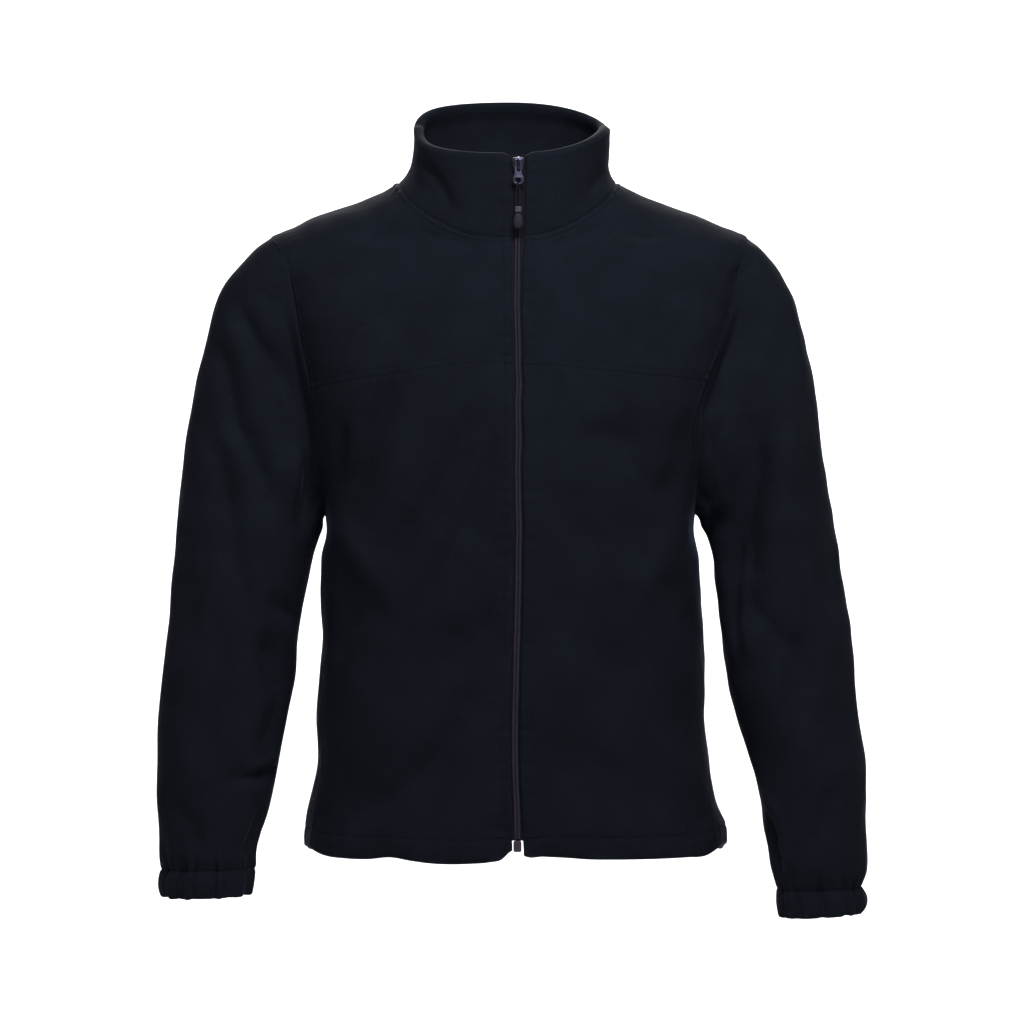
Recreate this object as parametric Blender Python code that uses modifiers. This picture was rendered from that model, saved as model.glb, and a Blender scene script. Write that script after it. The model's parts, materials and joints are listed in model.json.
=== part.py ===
"""Fleece zip jacket, filled out as when it is worn, hollow and open at neck, hem and cuffs.

Metres, +Z up, the front faces -Y. The origin is the middle of the neck, level with the point
where the neck meets the shoulders. The tables and the shape functions work in millimetres.
"right" and "left" are the wearer's, so the right side lies at -X.
"""

import math

import bmesh
import bpy
import numpy as np

MM = 0.001

# The cloth
FLEECE = 2.3  # thickness of one layer of fleece
TURN = 2.2  # radius at which the cloth's middle turns at the hem, cuffs and collar rim
SEAM = 0.25  # each piece stops this far from its seam
RIDGE_SEAM = 0.6  # and this far on the shoulder, where the cloth meets at a corner
HEM_DEPTH = 22.0
CUFF_DEPTH = 28.0
BAG_CLOTH = 1.0
BAG_GAP = 0.4  # between a pocket bag and the front before it
BAG_INSET = FLEECE / 2 + BAG_GAP + BAG_CLOTH / 2
BAG_PAST_SEAM = 8.0
POCKET_TOP, POCKET_FOOT = -471.0, -584.0
POCKET_SLIT = 3.0
SIDE_RADIUS = 125.0  # of the body at its side seam, for lengths round it
SLEEVE_SEAM, UNDERARM_SEAM = 0.9, 1.7
DROP = 1.5  # how roundly a ring falls from the shoulder's ridge to the front
SIDE_EASE = 0.1  # how softly the collar's rim rounds its two sides
PIT_TURN = 10  # of an armhole's 121 places, how many lie on its turn under the arm

# The zip
TAPE = 0.8
TAPE_INSET = TURN
TAPE_WIDTH = 15.0
TAPE_SAG = 0.9  # its outer edge lies this much deeper behind the fronts
TAPE_FOOT, TAPE_HEAD, COIL_HEAD = -641.0, 24.0, 12.5
TAPE_PARTING = 2.0  # each tape moves out this far where the slider's post stands between them
COIL_INSIDE, COIL_WIDTH, COIL_DEPTH = 0.2, 2.9, 2.0
GAP = 0.3  # between pieces that touch
COIL_INSET = TAPE_INSET - TAPE / 2 - GAP - COIL_DEPTH / 2

# The slider and its pull. Their places are from the hinge, x across and z up along the zip's
# line, and y inwards from the hinge's line.
PIVOT_HEIGHT = 18.5
PIVOT_PROUD = 3.65  # the hinge stands this far in front of the fleece's middle
PULL_LEAN = math.radians(2.5)  # the pull hangs this far off the zip's line
PLATE = 1.2  # thickness of the slider's front plate and of its bail
FRONT_PLATE_Y = 1.75
BACK_PLATE, PLATE_OFF_TAPE = 1.0, 0.9
BACK_PLATE_Y = PIVOT_PROUD + TAPE_INSET + TAPE / 2 + PLATE_OFF_TAPE
FLANGE_OFF_TAPE = 0.4
LEG_TRIM = 0.1  # the bail's legs are this much slimmer than its arch, so that no faces coincide
POST_RADIUS = 1.2
FLANGE_IN, FLANGE_OUT, FLANGE_HEAD, FLANGE_FOOT = 3.9, 5.0, -0.5, -9.5
BAIL_WIDTH, BAIL_HEAD, BAIL_FOOT, BAIL_Y = 1.7, 2.3, -11.2, -2.25
TAB = 1.2
WINDOW_HALF_WIDTH, WINDOW_HEAD, WINDOW_FOOT = 1.9, -0.65, -12.2
EYE_RADIUS, EYE_Z = 2.5, -21.0
CORD = 2.0  # its diameter
CORD_FOOT = -46.3
FERRULE = (7.0, 4.0, 6.4)
MOULDED_END = (9.5, 5.0, 16.0)
BOX = (8.0, 3.0, 11.0)  # the retainer box at the zip's foot
BOX_BEFORE_TAPE = 1.0  # its middle stands this much before the tape's
FERRULE_ROUNDING, END_ROUNDING, BOX_ROUNDING = 1.0, 1.8, 0.6

SIDES = {"right": -1, "left": 1}

# How finely the cloth is divided
FRONT_COLUMNS, BACK_COLUMNS, COLLAR_COLUMNS = 12, 18, 27
SIDE_ROWS, SHOULDER_ROWS, SLEEVE_ROWS = 11, 6, 16
LOW_ARM_ROWS, HIGH_ARM_ROWS, BACK_ARM_ROWS = 4, 5, 8
BAG_ROWS, BAG_COLUMNS = 8, 7
OUTLINE_POINTS, ROUND_POINTS, CORD_POINTS = 14, 20, 34


def table(columns, rows):
    """The columns of a table by name, each an array down its rows."""
    return dict(zip(columns.split(), np.array(rows, float).T))


# Rings round the body, from the hem to the neck. A ring meets the front at front_z.
BODY = table(
    "front_z side_z back_z middle_x half_width front_y side_y back_y squareness",
    [
        (-660, -660, -660, 3.5, 208.0, -126, 0, 121, 2.5),
        (-640, -640, -640, 3.0, 206.0, -127, 0, 120, 2.5),
        (-612, -612, -612, 0.5, 200.5, -128, 0, 117, 2.5),
        (-572, -572, -572, 1.0, 194.5, -129, 0, 111, 2.5),
        (-532, -532, -532, -2.0, 192.5, -130, 0, 106, 2.5),
        (-492, -492, -492, 0.0, 192.0, -131, 0, 103, 2.5),
        (-452, -452, -452, 1.0, 189.5, -132, 0, 103, 2.5),
        (-412, -412, -412, -0.5, 189.5, -134, 0, 107, 2.5),
        (-372, -370, -371, -1.0, 189.0, -136, 1, 113, 2.5),
        (-335, -325, -330, -1.5, 184.5, -138, 2, 119, 2.4),
        (-322, -300, -306, -1.5, 190.0, -138, 2, 120, 2.4),
        (-305, -268, -280, -1.5, 197.0, -139, 3, 122, 2.4),
        (-280, -220, -245, -1.5, 204.0, -139, 4, 123, 2.4),
        (-255, -172, -210, -2.0, 214.0, -138, 5, 124, 2.3),
        (-232, -128, -180, -2.0, 224.0, -137, 6, 123, 2.3),
        (-215, -96, -160, -2.5, 229.0, -135, 7, 121, 2.3),
        (-200, -67, -142, -3.0, 233.5, -133, 8, 118, 2.2),
        (-190, -50, -130, -3.0, 237.0, -132, 8, 116, 2.2),
        (-180, -44, -119, -3.0, 228.0, -130, 8, 113, 2.2),
        (-165, -38, -103, -3.5, 213.0, -127, 8, 109, 2.2),
        (-145, -30, -80, -4.0, 195.0, -123, 8, 103, 2.2),
        (-120, -21, -50, -4.5, 168.0, -116, 7, 93, 2.2),
        (-95, -12, -22, -5.0, 143.0, -108, 6, 82, 2.1),
        (-75, -4, -2, -5.0, 124.0, -100, 5, 73, 2.1),
        (-57, 4, 14, -5.0, 109.0, -92, 4, 66, 2.1),
    ],
)
HEM, ARMPIT, SHOULDER_TIP, NECKLINE = -660.0, -335.0, -190.0, -57.0

# The collar's wall from the neckline to its rim
COLLAR = table(
    "up front_z side_z back_z middle_x half_width front_y side_y back_y squareness right left",
    [
        (0.00, -57, 4, 14, -5.0, 109.0, -92.0, 4, 66, 2.1, 1.5, 1.5),
        (0.12, -47, 10, 23, -4.0, 103.0, -92.5, 4, 67, 2.1, 1.4, 1.5),
        (0.25, -36, 18, 33, -3.0, 98.5, -92.5, 4, 67, 2.1, 1.2, 1.45),
        (0.50, -15, 33, 53, -1.5, 96.5, -91.5, 2, 68, 2.1, 0.8, 1.3),
        (0.75, 6, 47, 73, -1.0, 96.5, -90.0, 0, 67, 2.1, 0.5, 1.2),
        (1.00, 26, 61, 92, -1.0, 96.5, -88.0, -2, 65, 2.1, 0.3, 1.15),
    ],
)
COLLAR_HEIGHT = 82.0
RIM = 26.0

# How far out the armhole's seam lies, down from the shoulder's tip
ARMHOLE = table(
    "z right_front left_front right_back left_back",
    [
        (-330, 187, 183.5, 186, 183),
        (-312, 187.5, 183.5, 189, 186),
        (-292, 188, 182, 192, 189),
        (-253, 189.5, 178.5, 198, 194),
        (-224, 193, 180, 203, 198),
        (-190, 200, 192, 208, 204),
        (-148, 209, 207.5, 215, 210),
        (-112, 215.5, 217.5, 221, 216),
        (-82, 222, 222.5, 228, 223),
        (-66, 229, 227, 234, 229),
        (-50, 240, 234, 240, 234),
    ],
)

# Where the side seam runs below the armpit, in degrees round from the front
SIDE_SEAM = table(
    "z angle",
    [(-660, 77), (-580, 77), (-500, 80), (-420, 85), (-370, 88), (-335, 90)],
)

# The seam under the yoke, across the front from the zip
YOKE_SEAM = table(
    "x z",
    [
        (-240, -212),
        (-189, -202),
        (-129, -192),
        (-69, -184),
        (0, -180),
        (20, -181),
        (85, -187),
        (134, -191),
        (189, -196),
        (240, -204),
    ],
)

# The zip's middle and the half gap between the edges of the fleece beside it
ZIP = table(
    "z middle_x half_gap",
    [
        (-660, 5.4, 6.5),
        (-616, 4.8, 6.2),
        (-578, 3.2, 6.0),
        (-539, 2.7, 6.0),
        (-500, 3.4, 6.0),
        (-462, 4.3, 6.0),
        (-423, 5.3, 6.0),
        (-366, 6.3, 6.0),
        (-290, 5.8, 6.0),
        (-192, 6.2, 6.0),
        (-120, 4.9, 6.0),
        (-85, 5.1, 6.6),
        (-57, 5.4, 9.2),
        (-20, 5.7, 10.0),
        (26, 5.9, 10.0),
    ],
)

# Sections along each sleeve, by the points where its outline shows, out and in
SLEEVE_COLUMNS = "outer_x outer_z inner_x inner_z middle_y half_depth squareness"
SLEEVES = {
    "right": table(
        SLEEVE_COLUMNS,
        [
            (240, -50, 186, -325, 4, 66, 2.1),
            (262, -67, 189, -329, 4, 67, 2.1),
            (288, -100, 190, -333, 3, 69, 2.1),
            (304, -150, 191, -340, 2, 70, 2.1),
            (315, -200, 195, -350, 1, 71, 2.1),
            (324, -255, 199, -364, -1, 71, 2.1),
            (331, -315, 203, -385, -4, 70, 2.1),
            (336, -375, 209, -418, -9, 67, 2.1),
            (341, -430, 215, -458, -16, 63, 2.1),
            (346, -485, 220, -502, -23, 59, 2.1),
            (350, -540, 228, -551, -29, 56, 2.1),
            (351, -590, 237, -596, -34, 52, 2.1),
            (348, -640, 250, -642, -37, 46, 2.1),
            (345, -664, 256, -664, -38, 42, 2.1),
            (343, -675, 257, -674, -38, 39, 2.2),
            (346, -688, 258, -686, -38, 42, 2.3),
            (346, -697, 259, -695, -38, 42, 2.3),
            (344, -703, 260, -701, -38, 41, 2.3),
        ],
    ),
    "left": table(
        SLEEVE_COLUMNS,
        [
            (234, -50, 183, -325, 4, 66, 2.1),
            (254, -67, 186, -328, 4, 67, 2.1),
            (276, -100, 188, -332, 3, 69, 2.1),
            (291, -150, 190, -339, 2, 70, 2.1),
            (300, -200, 196, -348, 1, 71, 2.1),
            (308, -255, 200, -361, -1, 71, 2.1),
            (317, -315, 203, -381, -4, 70, 2.1),
            (326, -375, 206, -413, -9, 67, 2.1),
            (334, -430, 210, -452, -16, 63, 2.1),
            (340, -485, 217, -495, -23, 59, 2.1),
            (345, -540, 229, -545, -29, 56, 2.1),
            (349, -590, 243, -592, -34, 53, 2.1),
            (349, -640, 250, -640, -37, 48, 2.1),
            (348, -680, 257, -681, -38, 43, 2.1),
            (344, -694, 262, -696, -38, 39, 2.2),
            (349, -706, 263, -709, -38, 42, 2.3),
            (348, -714, 264, -718, -38, 42, 2.3),
            (345, -719, 265, -723, -38, 41, 2.3),
        ],
    ),
}
CAP_REACH = 110.0  # down to here the sleeve still takes its shape from the armhole

# Outlines of the slider's front plate and of the pull tab
SLIDER_OUTLINE = table(
    "z half_width",
    [(-13, 2.6), (-12, 4.0), (-10, 4.7), (-6, 5.4), (-2, 6.0), (0, 6.0), (1.6, 5.5), (2.5, 4.4)],
)
TAB_OUTLINE = table(
    "z half_width",
    [
        (-25.6, 1.6),
        (-24.8, 3.4),
        (-22.5, 5.3),
        (-20, 5.6),
        (-15, 4.2),
        (-11, 3.4),
        (-6, 3.5),
        (-1, 3.5),
        (0.2, 3.2),
        (0.65, 2.4),
    ],
)

# The pull's cord, from one end up through the tab's eye and down to the other
CORD_ROUTE = table(
    "x y z",
    [
        (-1.7, 0.0, CORD_FOOT),
        (-1.7, 0.0, -38.0),
        (-1.6, -0.2, -31.0),
        (-1.1, -1.4, -27.6),
        (-0.5, -2.05, -24.3),
        (0.0, 0.0, -21.6),
        (0.5, 2.05, -24.3),
        (1.1, 1.4, -27.6),
        (1.6, 0.2, -31.0),
        (1.7, 0.0, -38.0),
        (1.7, 0.0, CORD_FOOT),
    ],
)

# Folds: a soft trough (depth below 0) or ridge along an arc, which bows out by bow at its middle.
# lean makes it wider on one side.
FOLD_COLUMNS = "x0 z0 x1 z1 bow width depth lean"
FOLDS = {
    "front": table(
        FOLD_COLUMNS,
        [
            (-116, -201, -156, -312, -3, 13, -4.5, 0.2),
            (-37, -230, -108, -359, 5, 16, -4.5, 0.2),
            (-108, -359, -150, -447, 0, 18, -3.5, 0),
            (-15, -255, -58, -366, 2, 13, -3.2, 0.2),
            (-58, -366, -110, -430, 0, 17, -2.6, 0),
            (3, -401, -69, -474, 3, 18, -3, 0),
            (-30, -482, -88, -581, 5, 18, -4, 0.2),
            (-88, -581, -160, -621, 4, 20, -3.6, 0),
            (-55, -71, -71, -153, 0, 26, 2, 0),
            (-145, -37, -81, -46, -3, 9, -2.4, 0.2),
            (55, -54, 164, -37, -5, 9, -2.4, 0.2),
            (70, -249, 145, -257, 4, 15, -2, 0.2),
            (102, -255, 139, -310, 0, 14, -2.6, 0),
            (29, -409, 123, -505, 8, 26, -2.6, 0),
            (27, -293, 87, -372, 4, 22, -2, 0),
            (133, -370, 174, -449, 0, 16, -2.2, 0),
            (46, -565, 147, -605, 5, 22, -2.6, 0),
            (-172, -334, -118, -411, 4, 16, 3.2, 0),
            (166, -332, 123, -401, 4, 18, 3, 0),
            (-156, -409, -170, -474, 0, 10, -2, 0),
            (114, -71, 85, -149, 0, 24, 1.6, 0),
            (172, -235, 150, -312, 3, 12, -2.6, 0),
            (-166, -235, -172, -305, 0, 9, -2.2, 0),
        ],
    ),
    "back": table(
        FOLD_COLUMNS,
        [
            (-150, -140, -95, -230, 3, 20, -5, 0.2),
            (150, -135, 100, -225, -3, 20, -5, 0.2),
            (-165, -330, -60, -430, 6, 22, -5, 0.2),
            (165, -325, 70, -420, -6, 22, -5, 0.2),
            (-150, -470, -20, -520, 5, 24, 4.5, 0),
            (140, -480, 30, -540, -5, 24, -5, 0.2),
            (-120, -570, 10, -610, 4, 22, -4, 0),
            (-95, -230, -60, -300, 0, 20, -2.6, 0),
            (100, -225, 66, -296, 0, 18, -2.6, 0),
            (-60, -60, 60, -58, -4, 16, -1.8, 0.2),
            (-60, -430, 0, -462, 0, 20, -3, 0),
            (168, -250, 128, -300, 2, 12, -2.6, 0.2),
            (-168, -250, -124, -306, -2, 12, -2.6, 0.2),
            (60, -600, 160, -575, 3, 18, -2.4, 0),
            (-20, -140, 5, -260, 0, 30, 1.6, 0),
        ],
    ),
    "right_sleeve": table(
        FOLD_COLUMNS,
        [
            (-272, -121, -234, -216, 3, 11, -5, 0.2),
            (-234, -216, -218, -271, 0, 11, -3.4, 0),
            (-244, -158, -203, -232, 4, 10, -5, 0.2),
            (-294, -160, -272, -238, 3, 12, -4, 0.2),
            (-272, -238, -236, -310, 3, 12, -5, 0.2),
            (-301, -243, -272, -367, 5, 14, -3.8, 0.1),
            (-272, -367, -229, -482, -4, 13, -3.4, 0),
            (-240, -109, -205, -160, 4, 10, -3.6, 0),
            (-203, -164, -189, -273, 4, 9, -4, 0.2),
            (-191, -271, -207, -334, 0, 9, -5, 0),
            (-236, -411, -211, -433, 0, 6, -3.6, 0.2),
            (-238, -452, -225, -511, -3, 10, -4.2, 0.2),
            (-225, -511, -241, -554, 0, 10, -4.2, 0),
            (-280, -588, -234, -579, 0, 7, -4, 0.3),
            (-258, -576, -225, -564, 0, 5, 2.4, 0),
            (-248, -622, -264, -661, 3, 7, -4, 0.2),
            (-331, -371, -315, -452, 3, 15, -2.6, 0),
            (-327, -509, -290, -570, 5, 18, -3, 0.2),
            (-335, -608, -303, -655, 3, 12, -2.2, 0),
            (-286, -450, -302, -529, 4, 16, -2.2, 0),
            (-256, -653, -262, -698, 0, 4, 3, 0),
        ],
    ),
    "left_sleeve": table(
        FOLD_COLUMNS,
        [
            (275, -118, 270, -195, 0, 9, 4.4, 0.2),
            (270, -195, 249, -324, 4, 9, 4.4, 0.2),
            (252, -235, 244, -298, 0, 10, -5.5, 0.2),
            (244, -298, 218, -373, -3, 10, -4.6, 0),
            (230, -115, 201, -214, -4, 14, -4.6, 0),
            (199, -214, 190, -304, 0, 10, -4.6, 0),
            (223, -212, 207, -314, -3, 9, -4, 0.2),
            (256, -133, 246, -216, 0, 12, -3, 0),
            (292, -444, 270, -515, 2, 18, -4.4, 0.2),
            (270, -515, 240, -586, 0, 17, -4, 0),
            (212, -367, 222, -452, -2, 6, -4.6, 0.2),
            (223, -367, 232, -458, -3, 6, 2.6, 0),
            (230, -413, 276, -474, 4, 14, -2.8, 0),
            (247, -599, 264, -649, 3, 5, 3, 0.2),
            (264, -649, 275, -677, 0, 5, 3, 0),
            (255, -625, 261, -690, 0, 6, -4, 0.2),
            (321, -332, 305, -432, 3, 16, -2.8, 0),
            (335, -460, 319, -551, 3, 16, -2.6, 0),
            (315, -596, 285, -659, 4, 14, -2.6, 0),
            (299, -233, 290, -312, 0, 13, -2.2, 0),
            (296, -509, 313, -598, 0, 16, -2, 0),
        ],
    ),
}


# --- the shape of the cloth -----------------------------------------------------------------


def smooth(keys, values, at):
    """Cubic curve through a column's values, its slope at each row taken from the rows beside it."""
    slopes = np.gradient(values, keys)
    low = np.clip(np.searchsorted(keys, at, side="right") - 1, 0, len(keys) - 2)
    step = keys[low + 1] - keys[low]
    t = np.clip((at - keys[low]) / step, 0, 1)
    rise = values[low + 1] - values[low]
    first, last = slopes[low] * step, slopes[low + 1] * step
    return values[low] + t * (first + t * (3 * rise - 2 * first - last + t * (first + last - 2 * rise)))


def column(rows, name, key, at):
    return smooth(rows[key], rows[name], at)


def fade(value, low, high):
    """0 up to low, 1 from high on, and a smooth step between."""
    t = np.clip((value - low) / (high - low), 0, 1)
    return t * t * (3 - 2 * t)


def unit(vectors):
    return vectors / np.linalg.norm(vectors, axis=-1, keepdims=True)


def ring_point(rows, key, angle, at):
    """Superellipse rings: across goes with sin, along with cos, and the height falls by cos too."""
    row = {name: smooth(rows[key], rows[name], at) for name in rows}
    sine, cosine = np.sin(angle), np.cos(angle)
    power = 2 / row["squareness"]
    across = np.sign(sine) * np.abs(sine) ** power
    along = np.abs(cosine) ** power
    end_y = np.where(cosine > 0, row["front_y"], row["back_y"])
    end_z = np.where(cosine > 0, row["front_z"], row["back_z"])
    x = row["middle_x"] + row["half_width"] * across
    y = row["side_y"] + (end_y - row["side_y"]) * along
    share = np.abs(cosine) ** DROP
    if "right" in row:
        power = np.where(sine < 0, row["right"], row["left"]) / 2
        share = (cosine**2 + SIDE_EASE**2) ** power - SIDE_EASE ** (2 * power)
        share = share / ((1 + SIDE_EASE**2) ** power - SIDE_EASE ** (2 * power))
    z = row["side_z"] + (end_z - row["side_z"]) * share
    return np.stack([x, y, z], -1)


def smooth_body(angle, height):
    return ring_point(BODY, "front_z", angle, height)


def smooth_collar(angle, up):
    return ring_point(COLLAR, "up", angle, up)


def normal_of(surface, u, v, step_u, step_v):
    along_u = surface(u + step_u, v) - surface(u - step_u, v)
    along_v = surface(u, v + step_v) - surface(u, v - step_v)
    return unit(np.cross(along_u, along_v))


def fold_height(points, folds):
    """Sum of the folds: a bell across each arc, which fades out past the arc's two ends."""
    height = np.zeros(points.shape[:-1])
    x, z = points[..., 0], points[..., 2]
    for x0, z0, x1, z1, bow, width, depth, lean in zip(*(folds[name] for name in FOLD_COLUMNS.split())):
        length = math.hypot(x1 - x0, z1 - z0)
        run_x, run_z = (x1 - x0) / length, (z1 - z0) / length
        along = (x - x0) * run_x + (z - z0) * run_z
        share = np.clip(along / length, 0, 1)
        beside = (z - z0) * run_x - (x - x0) * run_z - 4 * bow * share * (1 - share)
        past = np.maximum(np.maximum(-along, along - length), 0)
        spread = width * (1 + lean * np.tanh(beside / width))
        height += depth * np.exp(-((beside / spread) ** 2) - (past / (1.3 * width)) ** 2)
    return height


def shown(normal_y, towards):
    """1 where the cloth faces the front (towards -1) or the back (1), 0 where it faces away."""
    return fade(normal_y * towards, 0.05, 0.6)


def body(angle, height, inset=0.0):
    """The body's cloth with its folds; inset moves it inwards along its normal."""
    angle, height = np.broadcast_arrays(angle, height)
    points = smooth_body(angle, height)
    normals = normal_of(smooth_body, angle, height, 0.02, 2.0)
    still = fade(height, HEM, HEM + 30)
    push = fold_height(points, FOLDS["front"]) * shown(normals[..., 1], -1)
    push += fold_height(points, FOLDS["back"]) * shown(normals[..., 1], 1)
    near_zip = np.abs(points[..., 0] - column(ZIP, "middle_x", "z", height))
    push *= still * np.where(np.cos(angle) > 0, fade(near_zip, 8, 30), 1)
    return points + normals * (push - inset)[..., None]


def angle_at_x(rows, key, at, x):
    """The angle, near the front, at which a ring passes x."""
    share = (x - column(rows, "middle_x", key, at)) / column(rows, "half_width", key, at)
    sine = np.sign(share) * np.abs(share) ** (column(rows, "squareness", key, at) / 2)
    return np.arcsin(np.clip(sine, -1, 1))


def place_at(x, z, face="front"):
    """The angle and the ring at which the front or the back passes x and z, found by halving."""
    low, high = np.full_like(x, HEM), np.full_like(x, NECKLINE)
    for _ in range(40):
        middle = (low + high) / 2
        angle = angle_at_x(BODY, "front_z", middle, x)
        if face == "back":
            angle = np.copysign(math.pi - np.abs(angle), x)
        above = smooth_body(angle, middle)[..., 2] > z
        low, high = np.where(above, low, middle), np.where(above, middle, high)
    return np.stack([angle, middle], -1)


def spaced(places, count):
    """A number of places along a line of them, evenly far apart on the body."""
    points = smooth_body(places[:, 0], places[:, 1])
    run = np.concatenate([[0], np.cumsum(np.linalg.norm(np.diff(points, axis=0), axis=1))])
    at = np.linspace(0, run[-1], count)
    return np.stack([np.interp(at, run, places[:, i]) for i in (0, 1)], -1)


def armhole_line(side, face):
    """The armhole's seam as places on the body, from the armpit up to the shoulder's tip.

    Its first places follow a quarter of an ellipse, so that it turns round below the arm.
    """
    x, z = ARMHOLE[f"{side}_{face}"], ARMHOLE["z"]
    run = np.concatenate([[0], np.cumsum(np.hypot(np.diff(x), np.diff(z)))])
    at = np.linspace(0, run[-1], 121)
    places = place_at(SIDES[side] * smooth(run, x, at), smooth(run, z, at), face)
    places[0] = SIDES[side] * math.pi / 2, ARMPIT
    places[-1] = SIDES[side] * math.pi / 2, SHOULDER_TIP
    turn = np.linspace(0, math.pi / 2, PIT_TURN + 1)
    angle, height = places[PIT_TURN]
    places[: PIT_TURN + 1, 0] = places[0, 0] + (angle - places[0, 0]) * np.sin(turn)
    places[: PIT_TURN + 1, 1] = ARMPIT + (height - ARMPIT) * (1 - np.cos(turn))
    return places


def side_seam_angle(side, height):
    return SIDES[side] * np.radians(column(SIDE_SEAM, "angle", "z", height))


def zip_edge_x(side, z):
    return column(ZIP, "middle_x", "z", z) + SIDES[side] * column(ZIP, "half_gap", "z", z)


def zip_edge_angle(side, height):
    return angle_at_x(BODY, "front_z", height, zip_edge_x(side, height))


def split_armhole(side):
    """The front of the armhole, cut in two where the yoke's seam reaches it."""
    line = armhole_line(side, "front")
    points = smooth_body(line[:, 0], line[:, 1])
    seam_z = smooth(YOKE_SEAM["x"], YOKE_SEAM["z"], points[:, 0])
    cut = int(np.argmax(points[:, 2] > seam_z))
    return line[: cut + 1], line[cut:]


def yoke_seam(side, columns):
    """Places along the yoke's seam, from the zip to the armhole."""
    start_x = zip_edge_x(side, -180.0)
    end = split_armhole(side)[1][0]
    end_x = smooth_body(end[0], end[1])[0]
    x = np.linspace(start_x, end_x, columns)
    places = place_at(x, smooth(YOKE_SEAM["x"], YOKE_SEAM["z"], x))
    places[-1] = end
    return places


def armhole(side, around):
    """The armhole's seam as points, by the turn around it from the tip (0).

    It runs by the front, the armpit (pi) and the back. A turn's cosine is the share of the way
    along the line from the armpit to the tip.
    """
    around = np.mod(around, 2 * math.pi)
    turns, seams = armhole_turns(side)
    return np.stack([np.interp(around, turns, seams[:, i]) for i in range(3)], -1)


def armhole_turns(side):
    front = armhole_line(side, "front")[::-1]
    back = armhole_line(side, "back")
    line = np.concatenate([front, back[1:]])
    return turns_of(side, line), smooth_body(line[:, 0], line[:, 1])


def turns_of(side, line):
    """The turn of each place on the armhole's seam; line runs tip, front, armpit, back, tip."""
    points = smooth_body(line[:, 0], line[:, 1])
    tip, pit = (smooth_body(SIDES[side] * math.pi / 2, height) for height in (SHOULDER_TIP, ARMPIT))
    middle, axis = (tip + pit) / 2, (tip - pit) / 2
    turns = np.arccos(np.clip((points - middle) @ axis / (axis @ axis), -1, 1))
    behind = np.arange(len(line)) > np.argmin(np.abs(line[:, 1] - ARMPIT))
    return np.where(behind, 2 * math.pi - turns, turns)


def sleeve_lengths(side):
    """How far down the sleeve each of its sections lies, along its middle."""
    rows = SLEEVES[side]
    x = (rows["outer_x"] + rows["inner_x"]) / 2
    z = (rows["outer_z"] + rows["inner_z"]) / 2
    return np.concatenate([[0], np.cumsum(np.hypot(np.diff(x), np.diff(z)))])


def plain_sleeve(side, around, down):
    """Superellipse sections between the outer and the inner line of the sleeve's outline."""
    lengths = sleeve_lengths(side)
    row = {name: smooth(lengths, values, down) for name, values in SLEEVES[side].items()}
    power = 2 / row["squareness"]
    cosine, sine = np.cos(around), np.sin(around)
    out = np.sign(cosine) * np.abs(cosine) ** power
    forward = np.sign(sine) * np.abs(sine) ** power
    x = (row["outer_x"] + row["inner_x"]) / 2 + out * (row["outer_x"] - row["inner_x"]) / 2
    y = row["middle_y"] - forward * row["half_depth"]
    z = (row["outer_z"] + row["inner_z"]) / 2 + out * (row["outer_z"] - row["inner_z"]) / 2
    return np.stack([SIDES[side] * x, y, z], -1)


def smooth_sleeve(side, around, down):
    """The sections, drawn near the shoulder to the shape of the armhole's seam."""
    around, down = np.broadcast_arrays(around, down)
    lead = armhole(side, around) - plain_sleeve(side, around, np.zeros_like(down))
    return plain_sleeve(side, around, down) + lead * (1 - fade(down, 0, CAP_REACH))[..., None]


def sleeve(side, around, down, inset=0.0):
    """The sleeve's cloth with its folds; inset moves it inwards."""
    around, down = np.broadcast_arrays(around, down)

    def surface(u, v):
        return smooth_sleeve(side, u, v)

    points = surface(around, down)
    length = sleeve_lengths(side)[-1]
    inside = np.clip(down, 3.0, length - 3.0)
    normals = SIDES[side] * normal_of(surface, around, inside, 0.03, 2.5)
    push = fold_height(points, FOLDS[f"{side}_sleeve"]) * shown(normals[..., 1], -1)
    push += 0.7 * fold_height(points, FOLDS[f"{side}_sleeve"]) * shown(normals[..., 1], 1)
    push *= fade(down, 5, 40) * (1 - fade(down, length - 70, length - 35))
    return points + normals * (push - inset)[..., None]


def collar(angle, up, inset=0.0):
    angle, up = np.broadcast_arrays(angle, up)
    normals = normal_of(smooth_collar, angle, np.clip(up, 0.03, 0.97), 0.02, 0.03)
    return smooth_collar(angle, up) - normals * np.asarray(inset)[..., None]


# --- grids of points that become pieces -----------------------------------------------------


def turned_edge(depth, steps=3):
    """(distance from the fold's foot, inset) down one layer, round the turn and up the other."""
    turn = np.linspace(0, math.pi, steps + 1)
    away = np.concatenate([TURN * (1 - np.sin(turn)), [depth]])
    inset = np.concatenate([TURN * (1 - np.cos(turn)), [2 * TURN]])
    return away, inset


def pulled_back(grid, side_name, distance):
    """The grid with one edge drawn back along the cloth, away from its seam."""
    grid = grid.copy()
    edge, beside = {
        "first_row": (grid[0], grid[1]),
        "last_row": (grid[-1], grid[-2]),
        "first_column": (grid[:, 0], grid[:, 1]),
        "last_column": (grid[:, -1], grid[:, -2]),
    }[side_name]
    edge += unit(beside - edge) * distance
    return grid


def side_rings():
    """Rings that the fronts and the back share, from above the hem's turn to the armpit."""
    return np.linspace(HEM + HEM_DEPTH, ARMPIT, SIDE_ROWS)


def shoulder_rings():
    return np.linspace(SHOULDER_TIP, NECKLINE, SHOULDER_ROWS)


def ridge_gap(rows):
    """How far each row stops from the edge's seam: more along the shoulder's ridge, at the top."""
    gap = np.full((rows, 1), SEAM)
    gap[-SHOULDER_ROWS:] = RIDGE_SEAM
    return gap


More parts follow.
